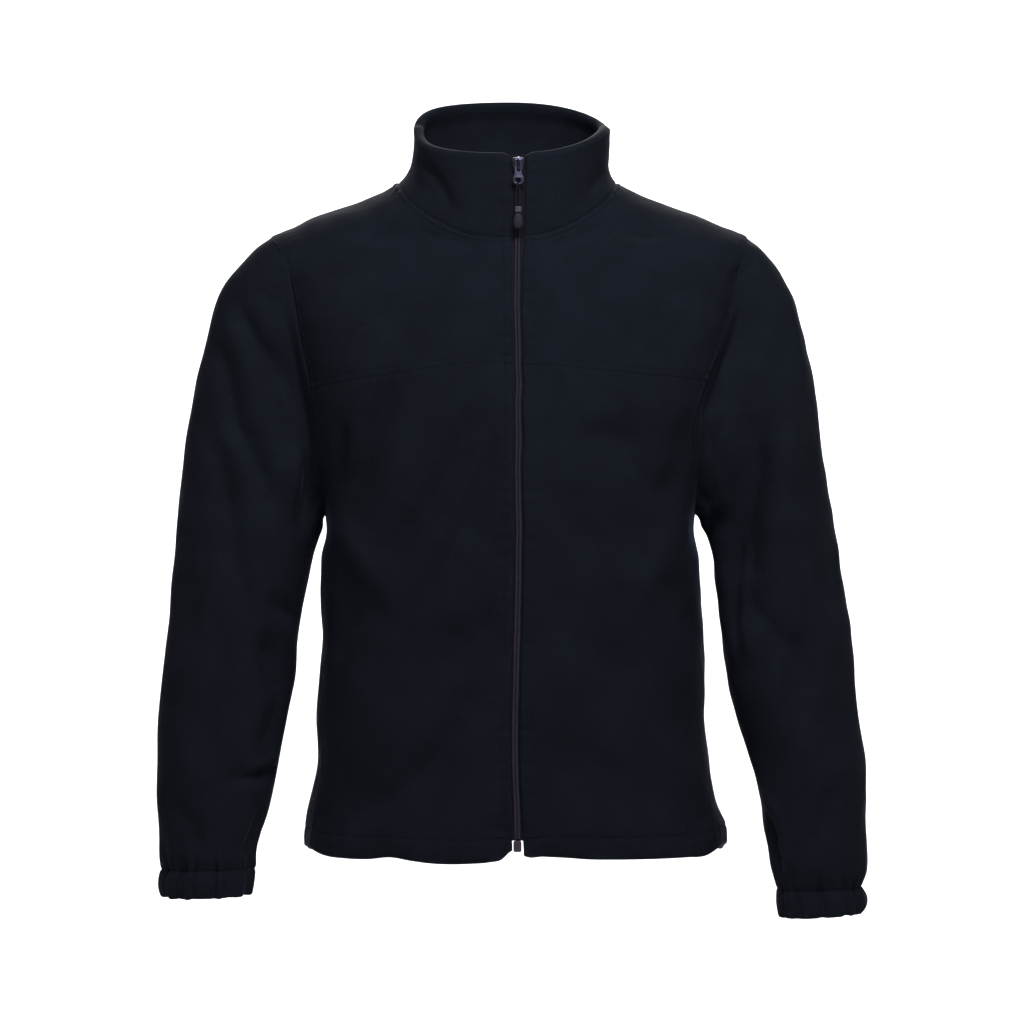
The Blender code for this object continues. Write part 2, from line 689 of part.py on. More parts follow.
def patch(first, last, foot, head):
    """Coons patch: the places inside four edges, the first and last column, the foot and head row."""
    up = np.linspace(0, 1, len(first))[:, None, None]
    over = np.linspace(0, 1, len(foot))[None, :, None]
    between_columns = first[:, None] * (1 - over) + last[:, None] * over
    between_rows = foot[None] * (1 - up) + head[None] * up
    low = foot[0] * (1 - over) + foot[-1] * over
    high = head[0] * (1 - over) + head[-1] * over
    return between_columns + between_rows - low * (1 - up) - high * up


def with_hem(places):
    """A patch with the rows of its turned-up hem put below it, and the inset of every row."""
    away, inset = turned_edge(HEM_DEPTH)
    rows = [places[0] + (0, HEM + step - places[0, 0, 1]) for step in away[::-1]]
    whole = np.concatenate([np.array(rows), places])
    return whole, np.concatenate([inset[::-1], np.zeros(len(places))])[:, None]


def along_zip(side, height):
    return np.stack([zip_edge_angle(side, height), height], -1)


def front_places(side):
    """The front below its yoke, above the hem's turn: zip edge first, side seam and armhole last."""
    seam = yoke_seam(side, FRONT_COLUMNS)
    rings = side_rings()
    arm = spaced(split_armhole(side)[0], LOW_ARM_ROWS + 1)[1:]
    last = np.concatenate([np.stack([side_seam_angle(side, rings), rings], -1), arm])
    climb = np.linspace(ARMPIT, seam[0, 1], LOW_ARM_ROWS + 1)[1:]
    first = along_zip(side, np.concatenate([rings, climb]))
    share = np.linspace(0, 1, FRONT_COLUMNS)
    foot_angle = first[0, 0] * (1 - share) + last[0, 0] * share
    foot = np.stack([foot_angle, np.full_like(share, rings[0])], -1)
    return patch(first, last, foot, seam)


def front_grid(side):
    places, inset = with_hem(front_places(side))
    height = places[:, -1, 1]
    slit = POCKET_SLIT * fade(height, POCKET_FOOT - 8, POCKET_FOOT + 8)
    slit *= 1 - fade(height, POCKET_TOP - 8, POCKET_TOP + 8)
    places[:, -1, 0] -= SIDES[side] * slit / SIDE_RADIUS
    grid = body(places[..., 0], places[..., 1], inset)
    grid = pulled_back(grid, "last_row", SEAM)
    return pulled_back(grid, "last_column", SEAM)


def yoke_grid(side):
    foot = yoke_seam(side, FRONT_COLUMNS)
    arm = spaced(split_armhole(side)[1], HIGH_ARM_ROWS + 1)[:-1]
    rings = shoulder_rings()
    ridge = np.stack([np.full_like(rings, SIDES[side] * math.pi / 2), rings], -1)
    last = np.concatenate([arm, ridge])
    first = along_zip(side, np.linspace(foot[0, 1], NECKLINE, len(last)))
    share = np.linspace(0, 1, FRONT_COLUMNS)
    head_angle = first[-1, 0] * (1 - share) + last[-1, 0] * share
    head = np.stack([head_angle, np.full_like(share, NECKLINE)], -1)
    places = patch(first, last, foot, head)
    grid = body(places[..., 0], places[..., 1])
    for edge in ("first_row", "last_row"):
        grid = pulled_back(grid, edge, SEAM)
    return pulled_back(grid, "last_column", ridge_gap(len(grid)))


def back_edge(side):
    """The back's edge from above the hem's turn: side seam, armhole, shoulder's ridge."""
    rings, ridge = side_rings(), shoulder_rings()
    seam = np.stack([side_seam_angle(side, rings), rings], -1)
    arm = spaced(armhole_line(side, "back"), BACK_ARM_ROWS + 1)[1:-1]
    top = np.stack([np.full_like(ridge, SIDES[side] * math.pi / 2), ridge], -1)
    edge = np.concatenate([seam, arm, top])
    if side == "right":
        edge[:, 0] += 2 * math.pi
    return edge


def back_grid():
    first, last = back_edge("left"), back_edge("right")
    share = np.linspace(0, 1, BACK_COLUMNS)[:, None]
    foot = first[0] * (1 - share) + last[0] * share
    head = first[-1] * (1 - share) + last[-1] * share
    places, inset = with_hem(patch(first, last, foot, head))
    grid = body(places[..., 0], places[..., 1], inset)
    for edge in ("first_column", "last_column"):
        grid = pulled_back(grid, edge, ridge_gap(len(grid)))
    return pulled_back(grid, "last_row", SEAM)


def sleeve_turns(side):
    """The turns of the armhole's seam at which the body's panels have their points."""
    low, high = split_armhole(side)
    front = np.concatenate([spaced(low, LOW_ARM_ROWS + 1)[:-1], spaced(high, HIGH_ARM_ROWS + 1)])
    back = spaced(armhole_line(side, "back"), BACK_ARM_ROWS + 1)
    line = np.concatenate([front[::-1], back[1:-1]])
    return turns_of(side, line)


def sleeve_grid(side):
    length = sleeve_lengths(side)[-1]
    away, inset = turned_edge(CUFF_DEPTH)
    plain = np.linspace(0, 1, SLEEVE_ROWS) ** 1.15 * (length - CUFF_DEPTH)
    down = np.concatenate([plain, [length - CUFF_DEPTH / 2], length - away])
    inset = np.concatenate([np.zeros(SLEEVE_ROWS + 1), inset])
    around = sleeve_turns(side)
    grid = sleeve(side, around[None, :], down[:, None], inset[:, None])
    inwards = (1 - np.cos(around)) / 2
    grid[0, :, 0] += SIDES[side] * (SLEEVE_SEAM + UNDERARM_SEAM * inwards)
    return grid


def collar_grid():
    away, inset = turned_edge(COLLAR_HEIGHT * 0.94)
    up = 1 - away / COLLAR_HEIGHT
    outer = np.array([0.015, 0.12, 0.27, 0.6])
    rows_up = np.concatenate([outer, up[:-1], [0.5], up[-1:]])
    rows_inset = np.concatenate([0 * outer, inset[:-1], [2 * TURN], inset[-1:]])
    heights = NECKLINE + rows_up * (RIM - NECKLINE)
    start = angle_at_x(COLLAR, "up", rows_up, zip_edge_x("left", heights))[:, None]
    end = angle_at_x(COLLAR, "up", rows_up, zip_edge_x("right", heights))[:, None]
    angle = start + (2 * math.pi + end - start) * np.linspace(0, 1, COLLAR_COLUMNS)
    return collar(angle, rows_up[:, None], rows_inset[:, None])


def bag_grid(side):
    """The pocket bag, from the front's own points moved in, and on past the side seam."""
    places = front_places(side)[:BAG_ROWS, -BAG_COLUMNS:]
    beyond = places[:, -1:] + (SIDES[side] * BAG_PAST_SEAM / SIDE_RADIUS, 0)
    places = np.concatenate([places, beyond], 1)
    inset = np.full(places.shape[:2], BAG_INSET)
    inset[:, -1] = BAG_INSET + 1.2
    return body(places[..., 0], places[..., 1], inset)


# --- the zip's line -------------------------------------------------------------------------


def front_edge(side, height):
    """The edge of the fleece beside the zip, up the front and then up the collar."""
    low = body(zip_edge_angle(side, height), np.clip(height, HEM, NECKLINE))
    up = (height - NECKLINE) / (RIM - NECKLINE)
    angle = angle_at_x(COLLAR, "up", np.clip(up, 0, 1), zip_edge_x(side, height))
    high = collar(angle, np.clip(up, 0, 1))
    return np.where((height < NECKLINE)[..., None], low, high)


def zip_point(height, across, inset):
    """A point beside the zip's middle, inset behind the middle of the fleece."""
    height = np.asarray(height, float)

    def middle(at):
        return (front_edge("right", at) + front_edge("left", at)) / 2

    def eased(at):
        return (middle(at - 6) + 2 * middle(at) + middle(at + 6)) / 4

    near = np.clip(height, HEM + 14, 12.0)
    along = unit(eased(near + 8) - eased(near - 8))
    sideways = unit(front_edge("left", height) - front_edge("right", height))
    inwards = unit(np.cross(along, sideways))
    start = np.where((np.abs(height - NECKLINE) < 20)[..., None], eased(height), middle(height))
    shape = np.broadcast_shapes(height.shape, np.shape(across), np.shape(inset))
    across = np.broadcast_to(across, shape)[..., None]
    inset = np.broadcast_to(inset, shape)[..., None]
    return start + sideways * across + inwards * inset


def zip_rows(head):
    """Heights up the zip: those of the fronts' own rows, and some up the collar."""
    low = front_places("left")[:, 0, 1]
    high = np.linspace(low[-1], NECKLINE, HIGH_ARM_ROWS + SHOULDER_ROWS)
    rows = np.concatenate([[TAPE_FOOT], low, high[1:], [-35, -12, 4, COIL_HEAD, 17, TAPE_HEAD]])
    return rows[rows <= head][:, None]


def strip_grid(side, across, inset, head):
    """A ribbon up the zip; past the fleece's edge it follows the fleece, on the fronts deeper."""
    rows = zip_rows(head)
    parting = TAPE_PARTING * fade(rows, COIL_HEAD, 17) * (np.arange(len(across)) == 0)
    across = SIDES[side] * (np.array(across)[None, :] + parting)
    sag = TAPE_SAG * fade(np.abs(across), 8, TAPE_WIDTH)
    sag = sag * fade(rows, HEM + HEM_DEPTH, HEM + HEM_DEPTH + 20) * (1 - fade(rows, -160, -75))
    inset = inset + sag
    level = zip_point(rows, across, inset)
    x = column(ZIP, "middle_x", "z", rows) + across
    height = np.minimum(rows, NECKLINE)
    under = body(angle_at_x(BODY, "front_z", height, x), height, inset)
    up = np.clip((rows - NECKLINE) / (RIM - NECKLINE), 0, 1)
    above = collar(angle_at_x(COLLAR, "up", up, x), up, inset)
    beneath = np.where((rows > NECKLINE)[..., None], above, under)
    hidden = fade(np.abs(across) - column(ZIP, "half_gap", "z", rows), -2, 2)[..., None]
    return level * (1 - hidden) + beneath * hidden


def zip_frame(height, proud):
    """A place in front of the zip's middle, in metres, and how far the zip's line leans there."""
    at = np.array([height - 10, height, height + 5])
    low, here, high = zip_point(at, 0.0, -proud)
    lean = math.atan2(high[1] - low[1], high[2] - low[2])
    return here * MM, lean


# --- Blender objects ------------------------------------------------------------------------


def clear_scene():
    for old in list(bpy.data.objects):
        bpy.data.objects.remove(old, do_unlink=True)


def new_collection(name):
    made = bpy.data.collections.new(name)
    bpy.context.scene.collection.children.link(made)
    return made


def new_material(name, colour, roughness, metallic=0.0):
    made = bpy.data.materials.new(name)
    made.use_nodes = True
    shader = made.node_tree.nodes["Principled BSDF"]
    shader.inputs["Base Color"].default_value = (*colour, 1.0)
    shader.inputs["Roughness"].default_value = roughness
    shader.inputs["Metallic"].default_value = metallic
    return made


def link(item, collection, material):
    collection.objects.link(item)
    item.data.materials.append(material)
    return item


def cloth_piece(name, grid, thickness, collection, material, closed_round=False):
    """A grid of points as an open surface of quads, given its thickness by Solidify."""
    rows, columns = grid.shape[:2]
    index = np.arange(rows * columns).reshape(rows, columns)
    if closed_round:
        index = np.concatenate([index, index[:, :1]], 1)
    corners = (index[:-1, :-1], index[:-1, 1:], index[1:, 1:], index[1:, :-1])
    faces = np.stack(corners, -1).reshape(-1, 4)
    mesh = bpy.data.meshes.new(name)
    mesh.from_pydata((grid.reshape(-1, 3) * MM).tolist(), [], faces.tolist())
    mesh.shade_smooth()
    piece = link(bpy.data.objects.new(name, mesh), collection, material)
    wall = piece.modifiers.new("Thickness", "SOLIDIFY")
    wall.thickness = thickness * MM
    wall.offset = 0.0
    wall.use_even_offset = True
    return piece


def outline(rows):
    """The points round a flat shape that is the same on both sides of x = 0, as (x, z)."""
    z = np.linspace(rows["z"][0], rows["z"][-1], 2 * OUTLINE_POINTS)
    half = np.interp(z, rows["z"], rows["half_width"])
    right, left = np.stack([half, z], -1), np.stack([-half, z], -1)
    return np.concatenate([right, left[::-1]])


def round_hole(x, z, radius):
    turn = np.linspace(0, 2 * math.pi, ROUND_POINTS, endpoint=False)
    return np.stack([x + radius * np.cos(turn), z + radius * np.sin(turn)], -1)


def box_hole(half_width, foot, head):
    return np.array([(-half_width, foot), (half_width, foot), (half_width, head), (-half_width, head)])


def empty_at(name, place, turn, collection, parent=None):
    made = bpy.data.objects.new(name, None)
    made.location = place
    made.rotation_euler = (turn, 0, 0)
    made.parent = parent
    made.empty_display_size = 0.01
    collection.objects.link(made)
    return made


def flat_piece(name, loops, thickness, y, parent, collection, material):
    """A plate from its outline and its holes, drawn in x and z, its middle at y."""
    curve = bpy.data.curves.new(name, "CURVE")
    curve.dimensions = "2D"
    curve.fill_mode = "BOTH"
    curve.extrude = thickness / 2 * MM
    for loop in loops:
        spline = curve.splines.new("POLY")
        spline.points.add(len(loop) - 1)
        for point, (x, z) in zip(spline.points, loop):
            point.co = (x * MM, z * MM, 0, 1)
        spline.use_cyclic_u = True
    piece = link(bpy.data.objects.new(name, curve), collection, material)
    piece.parent = parent
    piece.location = (0, y * MM, 0)
    piece.rotation_euler = (math.pi / 2, 0, 0)
    return piece


def block(name, size, middle, parent, collection, material, rounding=0.0):
    """A box, with round edges where rounding is given."""
    mesh = bpy.data.meshes.new(name)
    shape = bmesh.new()
    bmesh.ops.create_cube(shape, size=MM)
    bmesh.ops.scale(shape, vec=size, verts=shape.verts)
    shape.to_mesh(mesh)
    shape.free()
    piece = link(bpy.data.objects.new(name, mesh), collection, material)
    piece.parent = parent
    piece.location = [value * MM for value in middle]
    if rounding:
        edges = piece.modifiers.new("Round edges", "BEVEL")
        edges.width = rounding * MM
        edges.segments = 3
    return piece


def post(name, radius, y0, y1, parent, collection, material):
    """A round bar through the slider, from y0 in to y1."""
    mesh = bpy.data.meshes.new(name)
    shape = bmesh.new()
    size = {"radius1": radius * MM, "radius2": radius * MM, "depth": (y1 - y0) * MM}
    bmesh.ops.create_cone(shape, cap_ends=True, segments=16, **size)
    shape.to_mesh(mesh)
    shape.free()
    piece = link(bpy.data.objects.new(name, mesh), collection, material)
    piece.parent = parent
    piece.location = (0, (y0 + y1) / 2 * MM, 0)
    piece.rotation_euler = (math.pi / 2, 0, 0)
    return piece


def made_mesh(item):
    """A curve's object made into a mesh object in the same place, its caps welded on."""
    bpy.context.view_layer.update()
    evaluated = item.evaluated_get(bpy.context.evaluated_depsgraph_get())
    mesh = bpy.data.meshes.new_from_object(evaluated)
    shape = bmesh.new()
    shape.from_mesh(mesh)
    bmesh.ops.remove_doubles(shape, verts=shape.verts, dist=0.001 * MM)
    shape.to_mesh(mesh)
    shape.free()
    name, parent, place = item.name, item.parent, item.matrix_world.copy()
    collection = item.users_collection[0]
    bpy.data.objects.remove(item, do_unlink=True)
    made = bpy.data.objects.new(name, mesh)
    collection.objects.link(made)
    made.parent = parent
    made.matrix_world = place
    return made


def joined(base, helpers):
    """One solid from a mesh and its helpers, which are hidden."""
    for helper in helpers:
        helper.hide_render = True
        helper.display_type = "WIRE"
        union = base.modifiers.new(helper.name, "BOOLEAN")
        union.operation = "UNION"
        union.solver = "EXACT"
        union.object = helper
    return base


def make_slider(frame, parts, helpers, metal):
    """Front and back plate, the post between them, two flanges and the bail over the hinge."""
    plate = flat_piece("zip_slider", [outline(SLIDER_OUTLINE)], PLATE, FRONT_PLATE_Y, frame, parts, metal)
    plate = made_mesh(plate)
    loops = [outline(SLIDER_OUTLINE)]
    back = flat_piece("back_plate", loops, BACK_PLATE, BACK_PLATE_Y, frame, helpers, metal)
    pieces = [made_mesh(back)]
    pieces.append(post("post", POST_RADIUS, FRONT_PLATE_Y, BACK_PLATE_Y, frame, helpers, metal))
    flange_back = PIVOT_PROUD + TAPE_INSET - TAPE / 2 - FLANGE_OFF_TAPE
    flange_size = (FLANGE_OUT - FLANGE_IN, flange_back - FRONT_PLATE_Y, FLANGE_HEAD - FLANGE_FOOT)
    for side, sign in SIDES.items():
        middle = (
            sign * (FLANGE_IN + FLANGE_OUT) / 2,
            (FRONT_PLATE_Y + flange_back) / 2,
            (FLANGE_HEAD + FLANGE_FOOT) / 2,
        )
        pieces.append(block(f"{side}_flange", flange_size, middle, frame, helpers, metal))
    arch_size = (BAIL_WIDTH, PLATE, BAIL_HEAD - BAIL_FOOT)
    arch_middle = (0, BAIL_Y + PLATE / 2, (BAIL_HEAD + BAIL_FOOT) / 2)
    pieces.append(block("bail", arch_size, arch_middle, frame, helpers, metal))
    for name, z in (("bail_head", BAIL_HEAD - PLATE / 2), ("bail_foot", BAIL_FOOT + PLATE / 2)):
        size = (BAIL_WIDTH - LEG_TRIM, FRONT_PLATE_Y - BAIL_Y - LEG_TRIM, PLATE - LEG_TRIM)
        pieces.append(block(name, size, (0, (FRONT_PLATE_Y + BAIL_Y) / 2, z), frame, helpers, metal))
    return joined(plate, pieces)


def make_pull(hinge, parts, metal, cord_material, rubber):
    """The tab, with a window round the bail and an eye for the cord, and what hangs from it."""
    window = box_hole(WINDOW_HALF_WIDTH, WINDOW_FOOT, WINDOW_HEAD)
    loops = [outline(TAB_OUTLINE), window, round_hole(0, EYE_Z, EYE_RADIUS)]
    flat_piece("zip_pull_tab", loops, TAB, 0, hinge, parts, metal)
    curve = bpy.data.curves.new("zip_pull_cord", "CURVE")
    curve.dimensions = "3D"
    curve.bevel_depth = CORD / 2 * MM
    curve.bevel_resolution = 2
    curve.use_fill_caps = True
    route = np.stack([CORD_ROUTE[name] for name in "xyz"], -1)
    run = np.concatenate([[0], np.cumsum(np.linalg.norm(np.diff(route, axis=0), axis=1))])
    at = np.linspace(0, run[-1], CORD_POINTS)
    spline = curve.splines.new("POLY")
    spline.points.add(CORD_POINTS - 1)
    for point, place in zip(spline.points, np.stack([smooth(run, values, at) for values in route.T], -1)):
        point.co = (*(place * MM), 1)
    cord = link(bpy.data.objects.new("zip_pull_cord", curve), parts, cord_material)
    cord.parent = hinge
    ferrule_z = CORD_FOOT - GAP - FERRULE[2] / 2
    end_z = ferrule_z - FERRULE[2] / 2 - GAP - MOULDED_END[2] / 2
    block("zip_pull_ferrule", FERRULE, (0, 0, ferrule_z), hinge, parts, metal, FERRULE_ROUNDING)
    block("zip_pull_end", MOULDED_END, (0, 0, end_z), hinge, parts, rubber, END_ROUNDING)


def make_zip_fittings(parts, helpers):
    metal = new_material("dark lacquered zinc", (0.05, 0.05, 0.07), 0.35, 0.9)
    rubber = new_material("grey violet rubber", (0.06, 0.055, 0.085), 0.55)
    braid = new_material("navy braided cord", (0.015, 0.016, 0.028), 0.8)
    bright = new_material("clear grey plastic", (0.35, 0.36, 0.4), 0.3)
    place, lean = zip_frame(PIVOT_HEIGHT, PIVOT_PROUD)
    frame = empty_at("slider_place", place, -lean, helpers)
    make_slider(frame, parts, helpers, metal)
    hinge = empty_at("pull_hinge", (0, 0, 0), -PULL_LEAN, helpers, frame)
    make_pull(hinge, parts, metal, braid, rubber)
    box_z = TAPE_FOOT - GAP - BOX[2] / 2
    place, lean = zip_frame(box_z, BOX_BEFORE_TAPE - TAPE_INSET)
    foot = empty_at("box_place", place, -lean, helpers)
    block("zip_box", BOX, (0, 0, 0), foot, parts, bright, BOX_ROUNDING)


def main():
    clear_scene()
    parts = new_collection("fleece_zip_jacket")
    helpers = new_collection("helpers")
    fleece = new_material("navy fleece", (0.011, 0.014, 0.026), 0.95)
    bagging = new_material("navy pocketing", (0.012, 0.014, 0.022), 0.9)
    tape = new_material("navy zip tape", (0.014, 0.012, 0.024), 0.8)
    nylon = new_material("navy nylon coil", (0.03, 0.028, 0.05), 0.4)
    for side in SIDES:
        cloth_piece(f"{side}_front", front_grid(side), FLEECE, parts, fleece)
        cloth_piece(f"{side}_front_yoke", yoke_grid(side), FLEECE, parts, fleece)
        cloth_piece(f"{side}_sleeve", sleeve_grid(side), FLEECE, parts, fleece, True)
        cloth_piece(f"{side}_pocket_bag", bag_grid(side), BAG_CLOTH, parts, bagging)
        ribbon = strip_grid(side, (COIL_INSIDE, 8.0, TAPE_WIDTH), TAPE_INSET, TAPE_HEAD)
        cloth_piece(f"zip_tape_{side}", ribbon, TAPE, parts, tape)
        chain = strip_grid(side, (COIL_INSIDE, COIL_INSIDE + COIL_WIDTH), COIL_INSET, COIL_HEAD)
        cloth_piece(f"zip_coil_{side}", chain, COIL_DEPTH, parts, nylon)
    cloth_piece("back", back_grid(), FLEECE, parts, fleece)
    cloth_piece("collar", collar_grid(), FLEECE, parts, fleece)
    make_zip_fittings(parts, helpers)


main()
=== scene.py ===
"""A fleece zip jacket, filled out as when it is worn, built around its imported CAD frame.

The tables and the shape functions work in millimetres, and meshes are made in metres. "right" and
"left" are the wearer's, so the right side lies at -X. The front faces -Y, and the origin is the
middle of the neck, level with the point where the neck meets the shoulders.
"""

import functools
import json
import math

import bmesh
import bpy
import numpy as np
from mathutils import Matrix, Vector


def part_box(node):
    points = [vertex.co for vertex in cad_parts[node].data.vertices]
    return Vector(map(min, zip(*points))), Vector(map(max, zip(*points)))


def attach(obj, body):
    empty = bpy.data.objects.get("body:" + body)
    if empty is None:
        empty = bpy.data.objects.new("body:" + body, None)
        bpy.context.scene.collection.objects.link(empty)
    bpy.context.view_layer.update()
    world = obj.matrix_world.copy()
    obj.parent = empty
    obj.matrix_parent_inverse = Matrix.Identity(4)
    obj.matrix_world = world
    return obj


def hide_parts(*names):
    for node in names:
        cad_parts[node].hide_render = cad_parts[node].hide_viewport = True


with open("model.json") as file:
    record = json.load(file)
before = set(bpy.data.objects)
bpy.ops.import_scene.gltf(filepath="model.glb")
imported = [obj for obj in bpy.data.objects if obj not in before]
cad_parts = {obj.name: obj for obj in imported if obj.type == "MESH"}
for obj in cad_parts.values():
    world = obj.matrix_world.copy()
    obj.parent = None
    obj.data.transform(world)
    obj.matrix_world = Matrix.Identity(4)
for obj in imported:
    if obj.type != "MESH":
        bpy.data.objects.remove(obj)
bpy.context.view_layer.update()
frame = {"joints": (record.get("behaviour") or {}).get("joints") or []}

bl_info = {
    "name": "Fleece zip jacket",
    "version": (1, 0, 0),
    "blender": (4, 5, 0),
    "location": "View3D > Sidebar > Jacket",
    "description": "A fleece zip jacket, filled out with no wearer",
    "category": "Add Mesh",
}

MM = 0.001
BODY_PART, PULL_PART = "jacket", "zip_pull"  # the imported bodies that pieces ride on

# The cloth
TURN = 2.2  # radius at which the cloth's middle turns at the hem, cuffs and collar rim
HEM_DEPTH = 22.0
CUFF_DEPTH = 28.0
BAG_CLOTH = 1.0
BAG_INSET = 2.3 / 2 + 0.4 + BAG_CLOTH / 2
BAG_PAST_SEAM = 8.0
BAG_STEP = 5.0  # between the points of the bag's grid, which hardly shows
BAG_WIDTH, BAG_SHARE = 118.0, 0.64  # in from the side seam, and up from the hem to the armpit
POCKET_TOP, POCKET_FOOT = -471.0, -584.0
POCKET_SLIT = 3.0
SIDE_RADIUS = 125.0  # of the body at its side seam, for lengths round it
DROP = 1.5  # how roundly a ring falls from the shoulder's ridge to the front
SIDE_EASE = 0.1  # how softly the collar's rim rounds its two sides
COLLAR_HEIGHT = 82.0
COLLAR_FOOT = 5.0  # the inner layer ends this much above the outer layer's seam
RIM_TURN = 3.8  # radius of the cloth's middle as it rolls over the collar's rim
RIM = 26.0
NOTCH_CORNER = 7.0  # radius of the collar's two corners beside the zip
CAP_REACH = 110.0  # down to here the sleeve still takes its shape from the armhole
RIM_STEPS = 3  # points round the half-round edge of a wall, between its two faces
CLOSE = 0.03  # pieces that are sewn together leave this much between their round edges
ARMHOLE_PLACES = 121
PIT_TURN = 10  # how many of them lie on the armhole's turn under the arm
AIM_ROUNDS, AIM_STEP, HALVINGS = 12, 0.5, 34  # of the search for a place on the body
BACK_COARSER = 1.14  # the widest panel's columns are spaced more widely, to keep its faces few
SLEEVE_RADIUS = 45.0  # for lengths round a sleeve
SLEEVE_COLUMNS_ROUND = 152

# Topstitches
EDGE_STITCH = 7.5  # from the fleece's edge beside the zip
ARMHOLE_STITCH, YOKE_STITCH, NECK_STITCH = 7.0, 5.5, 5.0
HEM_STITCH = 20.0
CUFF_STITCH = 26.0
POCKET_STITCH = 15.0
RIM_STITCH = 10.0

# The zip
TAPE = 0.8
TAPE_INSET = TURN
TAPE_WIDTH = 15.0
TAPE_SAG = 0.9  # its outer edge lies this much deeper behind the fronts
TAPE_FOOT, TAPE_HEAD, COIL_HEAD = -641.0, 24.0, 12.5
TAPE_PARTING = 2.0  # each tape moves out this far where the slider's post stands between them
COIL_INSIDE, COIL_DEPTH = 0.2, 2.0
COIL_INSET = TAPE_INSET - TAPE / 2 - 0.3 - COIL_DEPTH / 2
COIL_PITCH = 1.45
COIL_SAMPLES = 700  # points up its filler cord

# The slider and its pull, from the hinge: x across, z up along the zip's line, y inwards
SLIDER_LEAN, PULL_LEAN = -0.100, -0.144
PIVOT_PROUD = 3.65
PLATE = 1.2
FRONT_PLATE_Y = 1.75
BACK_PLATE, BACK_PLATE_Y = 1.0, PIVOT_PROUD + TAPE_INSET + TAPE / 2 + 0.9
FLANGE_IN, FLANGE_OUT, FLANGE_HEAD, FLANGE_FOOT = 3.9, 5.0, -0.5, -9.5
BAIL_WIDTH = 1.7
TAB = 1.2
WINDOW_HALF_WIDTH, WINDOW_HEAD, WINDOW_FOOT = 1.9, -0.65, -12.2
EYE_RADIUS, EYE_Z = 2.5, -21.0
CORD = 2.0
CORD_FOOT = -46.3
FERRULE = (7.0, 4.0, 6.4)
MOULDED_END = (9.5, 5.0, 16.0)
GAP = 0.3
BAIL_PATH = [  # (y, z), from its head round the front to its foot
    (1.6, 1.5),
    (0.2, 1.9),
    (-1.1, 1.7),
    (-1.65, 0.9),
    (-1.65, -2.0),
    (-1.65, -7.5),
    (-1.65, -9.6),
    (-1.1, -10.5),
    (0.2, -10.7),
    (1.6, -10.4),
]

# The studio, in metres
FLOOR_MIDDLE, FLOOR_RADIUS, BOWL_RADIUS, WALL_TOP = 2.0, 4.4, 1.6, 4.6
SKY_COLOUR = (0.94, 0.96, 1.0, 1)
CAMERA_AWAY, CAMERA_DROP = 3.6, 0.324  # from the middle of the neck, with the camera level
HALF_FRAME = 0.512  # half the width that the camera sees at the middle of the neck

SIDES = {"right": -1, "left": 1}


def table(columns, rows):
    """The columns of a table by name, each an array down its rows."""
    return dict(zip(columns.split(), np.array(rows, float).T))


# Rings round the body, from the hem to the neck. A ring meets the front at front_z.
BODY = table(
    "front_z side_z back_z middle_x half_width front_y side_y back_y squareness",
    [
        (-660, -660, -660, 3.5, 208.0, -126, 0, 121, 2.5),
        (-640, -640, -640, 3.0, 206.0, -127, 0, 120, 2.5),
        (-612, -612, -612, 0.5, 200.5, -128, 0, 117, 2.5),
        (-572, -572, -572, 1.0, 194.5, -129, 0, 111, 2.5),
        (-532, -532, -532, -2.0, 192.5, -130, 0, 106, 2.5),
        (-492, -492, -492, 0.0, 192.0, -131, 0, 103, 2.5),
        (-452, -452, -452, 1.0, 189.5, -132, 0, 103, 2.5),
        (-412, -412, -412, -0.5, 189.5, -134, 0, 107, 2.5),
        (-372, -370, -371, -1.0, 189.0, -136, 1, 113, 2.5),
        (-335, -325, -330, -1.5, 184.5, -138, 2, 119, 2.4),
        (-322, -300, -306, -1.5, 190.0, -138, 2, 120, 2.4),
        (-305, -268, -280, -1.5, 197.0, -139, 3, 122, 2.4),
        (-280, -220, -245, -1.5, 204.0, -139, 4, 123, 2.4),
        (-255, -172, -210, -2.0, 214.0, -138, 5, 124, 2.3),
        (-232, -128, -180, -2.0, 224.0, -137, 6, 123, 2.3),
        (-215, -96, -160, -2.5, 229.0, -135, 7, 121, 2.3),
        (-200, -67, -142, -3.0, 233.5, -133, 8, 118, 2.2),
        (-190, -50, -130, -3.0, 237.0, -132, 8, 116, 2.2),
        (-180, -44, -119, -3.0, 228.0, -130, 8, 113, 2.2),
        (-165, -38, -103, -3.5, 213.0, -127, 8, 109, 2.2),
        (-145, -30, -80, -4.0, 195.0, -123, 8, 103, 2.2),
        (-120, -21, -50, -4.5, 168.0, -116, 7, 93, 2.2),
        (-95, -12, -22, -5.0, 143.0, -108, 6, 82, 2.1),
        (-75, -4, -2, -5.0, 124.0, -100, 5, 73, 2.1),
        (-57, 4, 14, -5.0, 109.0, -92, 4, 66, 2.1),
    ],
)
HEM, ARMPIT, SHOULDER_TIP, NECKLINE = -660.0, -335.0, -190.0, -57.0

# The collar's wall from the neckline to its rim
COLLAR = table(
    "up front_z side_z back_z middle_x half_width front_y side_y back_y squareness right left",
    [
        (0.00, -57, 4, 14, -5.0, 109.0, -92.0, 4, 66, 2.1, 1.5, 1.5),
        (0.12, -47, 10, 23, -4.0, 103.0, -92.5, 4, 67, 2.1, 1.4, 1.5),
        (0.25, -36, 18, 33, -3.0, 98.5, -92.5, 4, 67, 2.1, 1.2, 1.45),
        (0.50, -15, 33, 53, -1.5, 96.5, -91.5, 2, 68, 2.1, 0.8, 1.3),
        (0.75, 6, 47, 73, -1.0, 96.5, -90.0, 0, 67, 2.1, 0.5, 1.2),
        (1.00, 26, 61, 92, -1.0, 96.5, -88.0, -2, 65, 2.1, 0.3, 1.15),
    ],
)

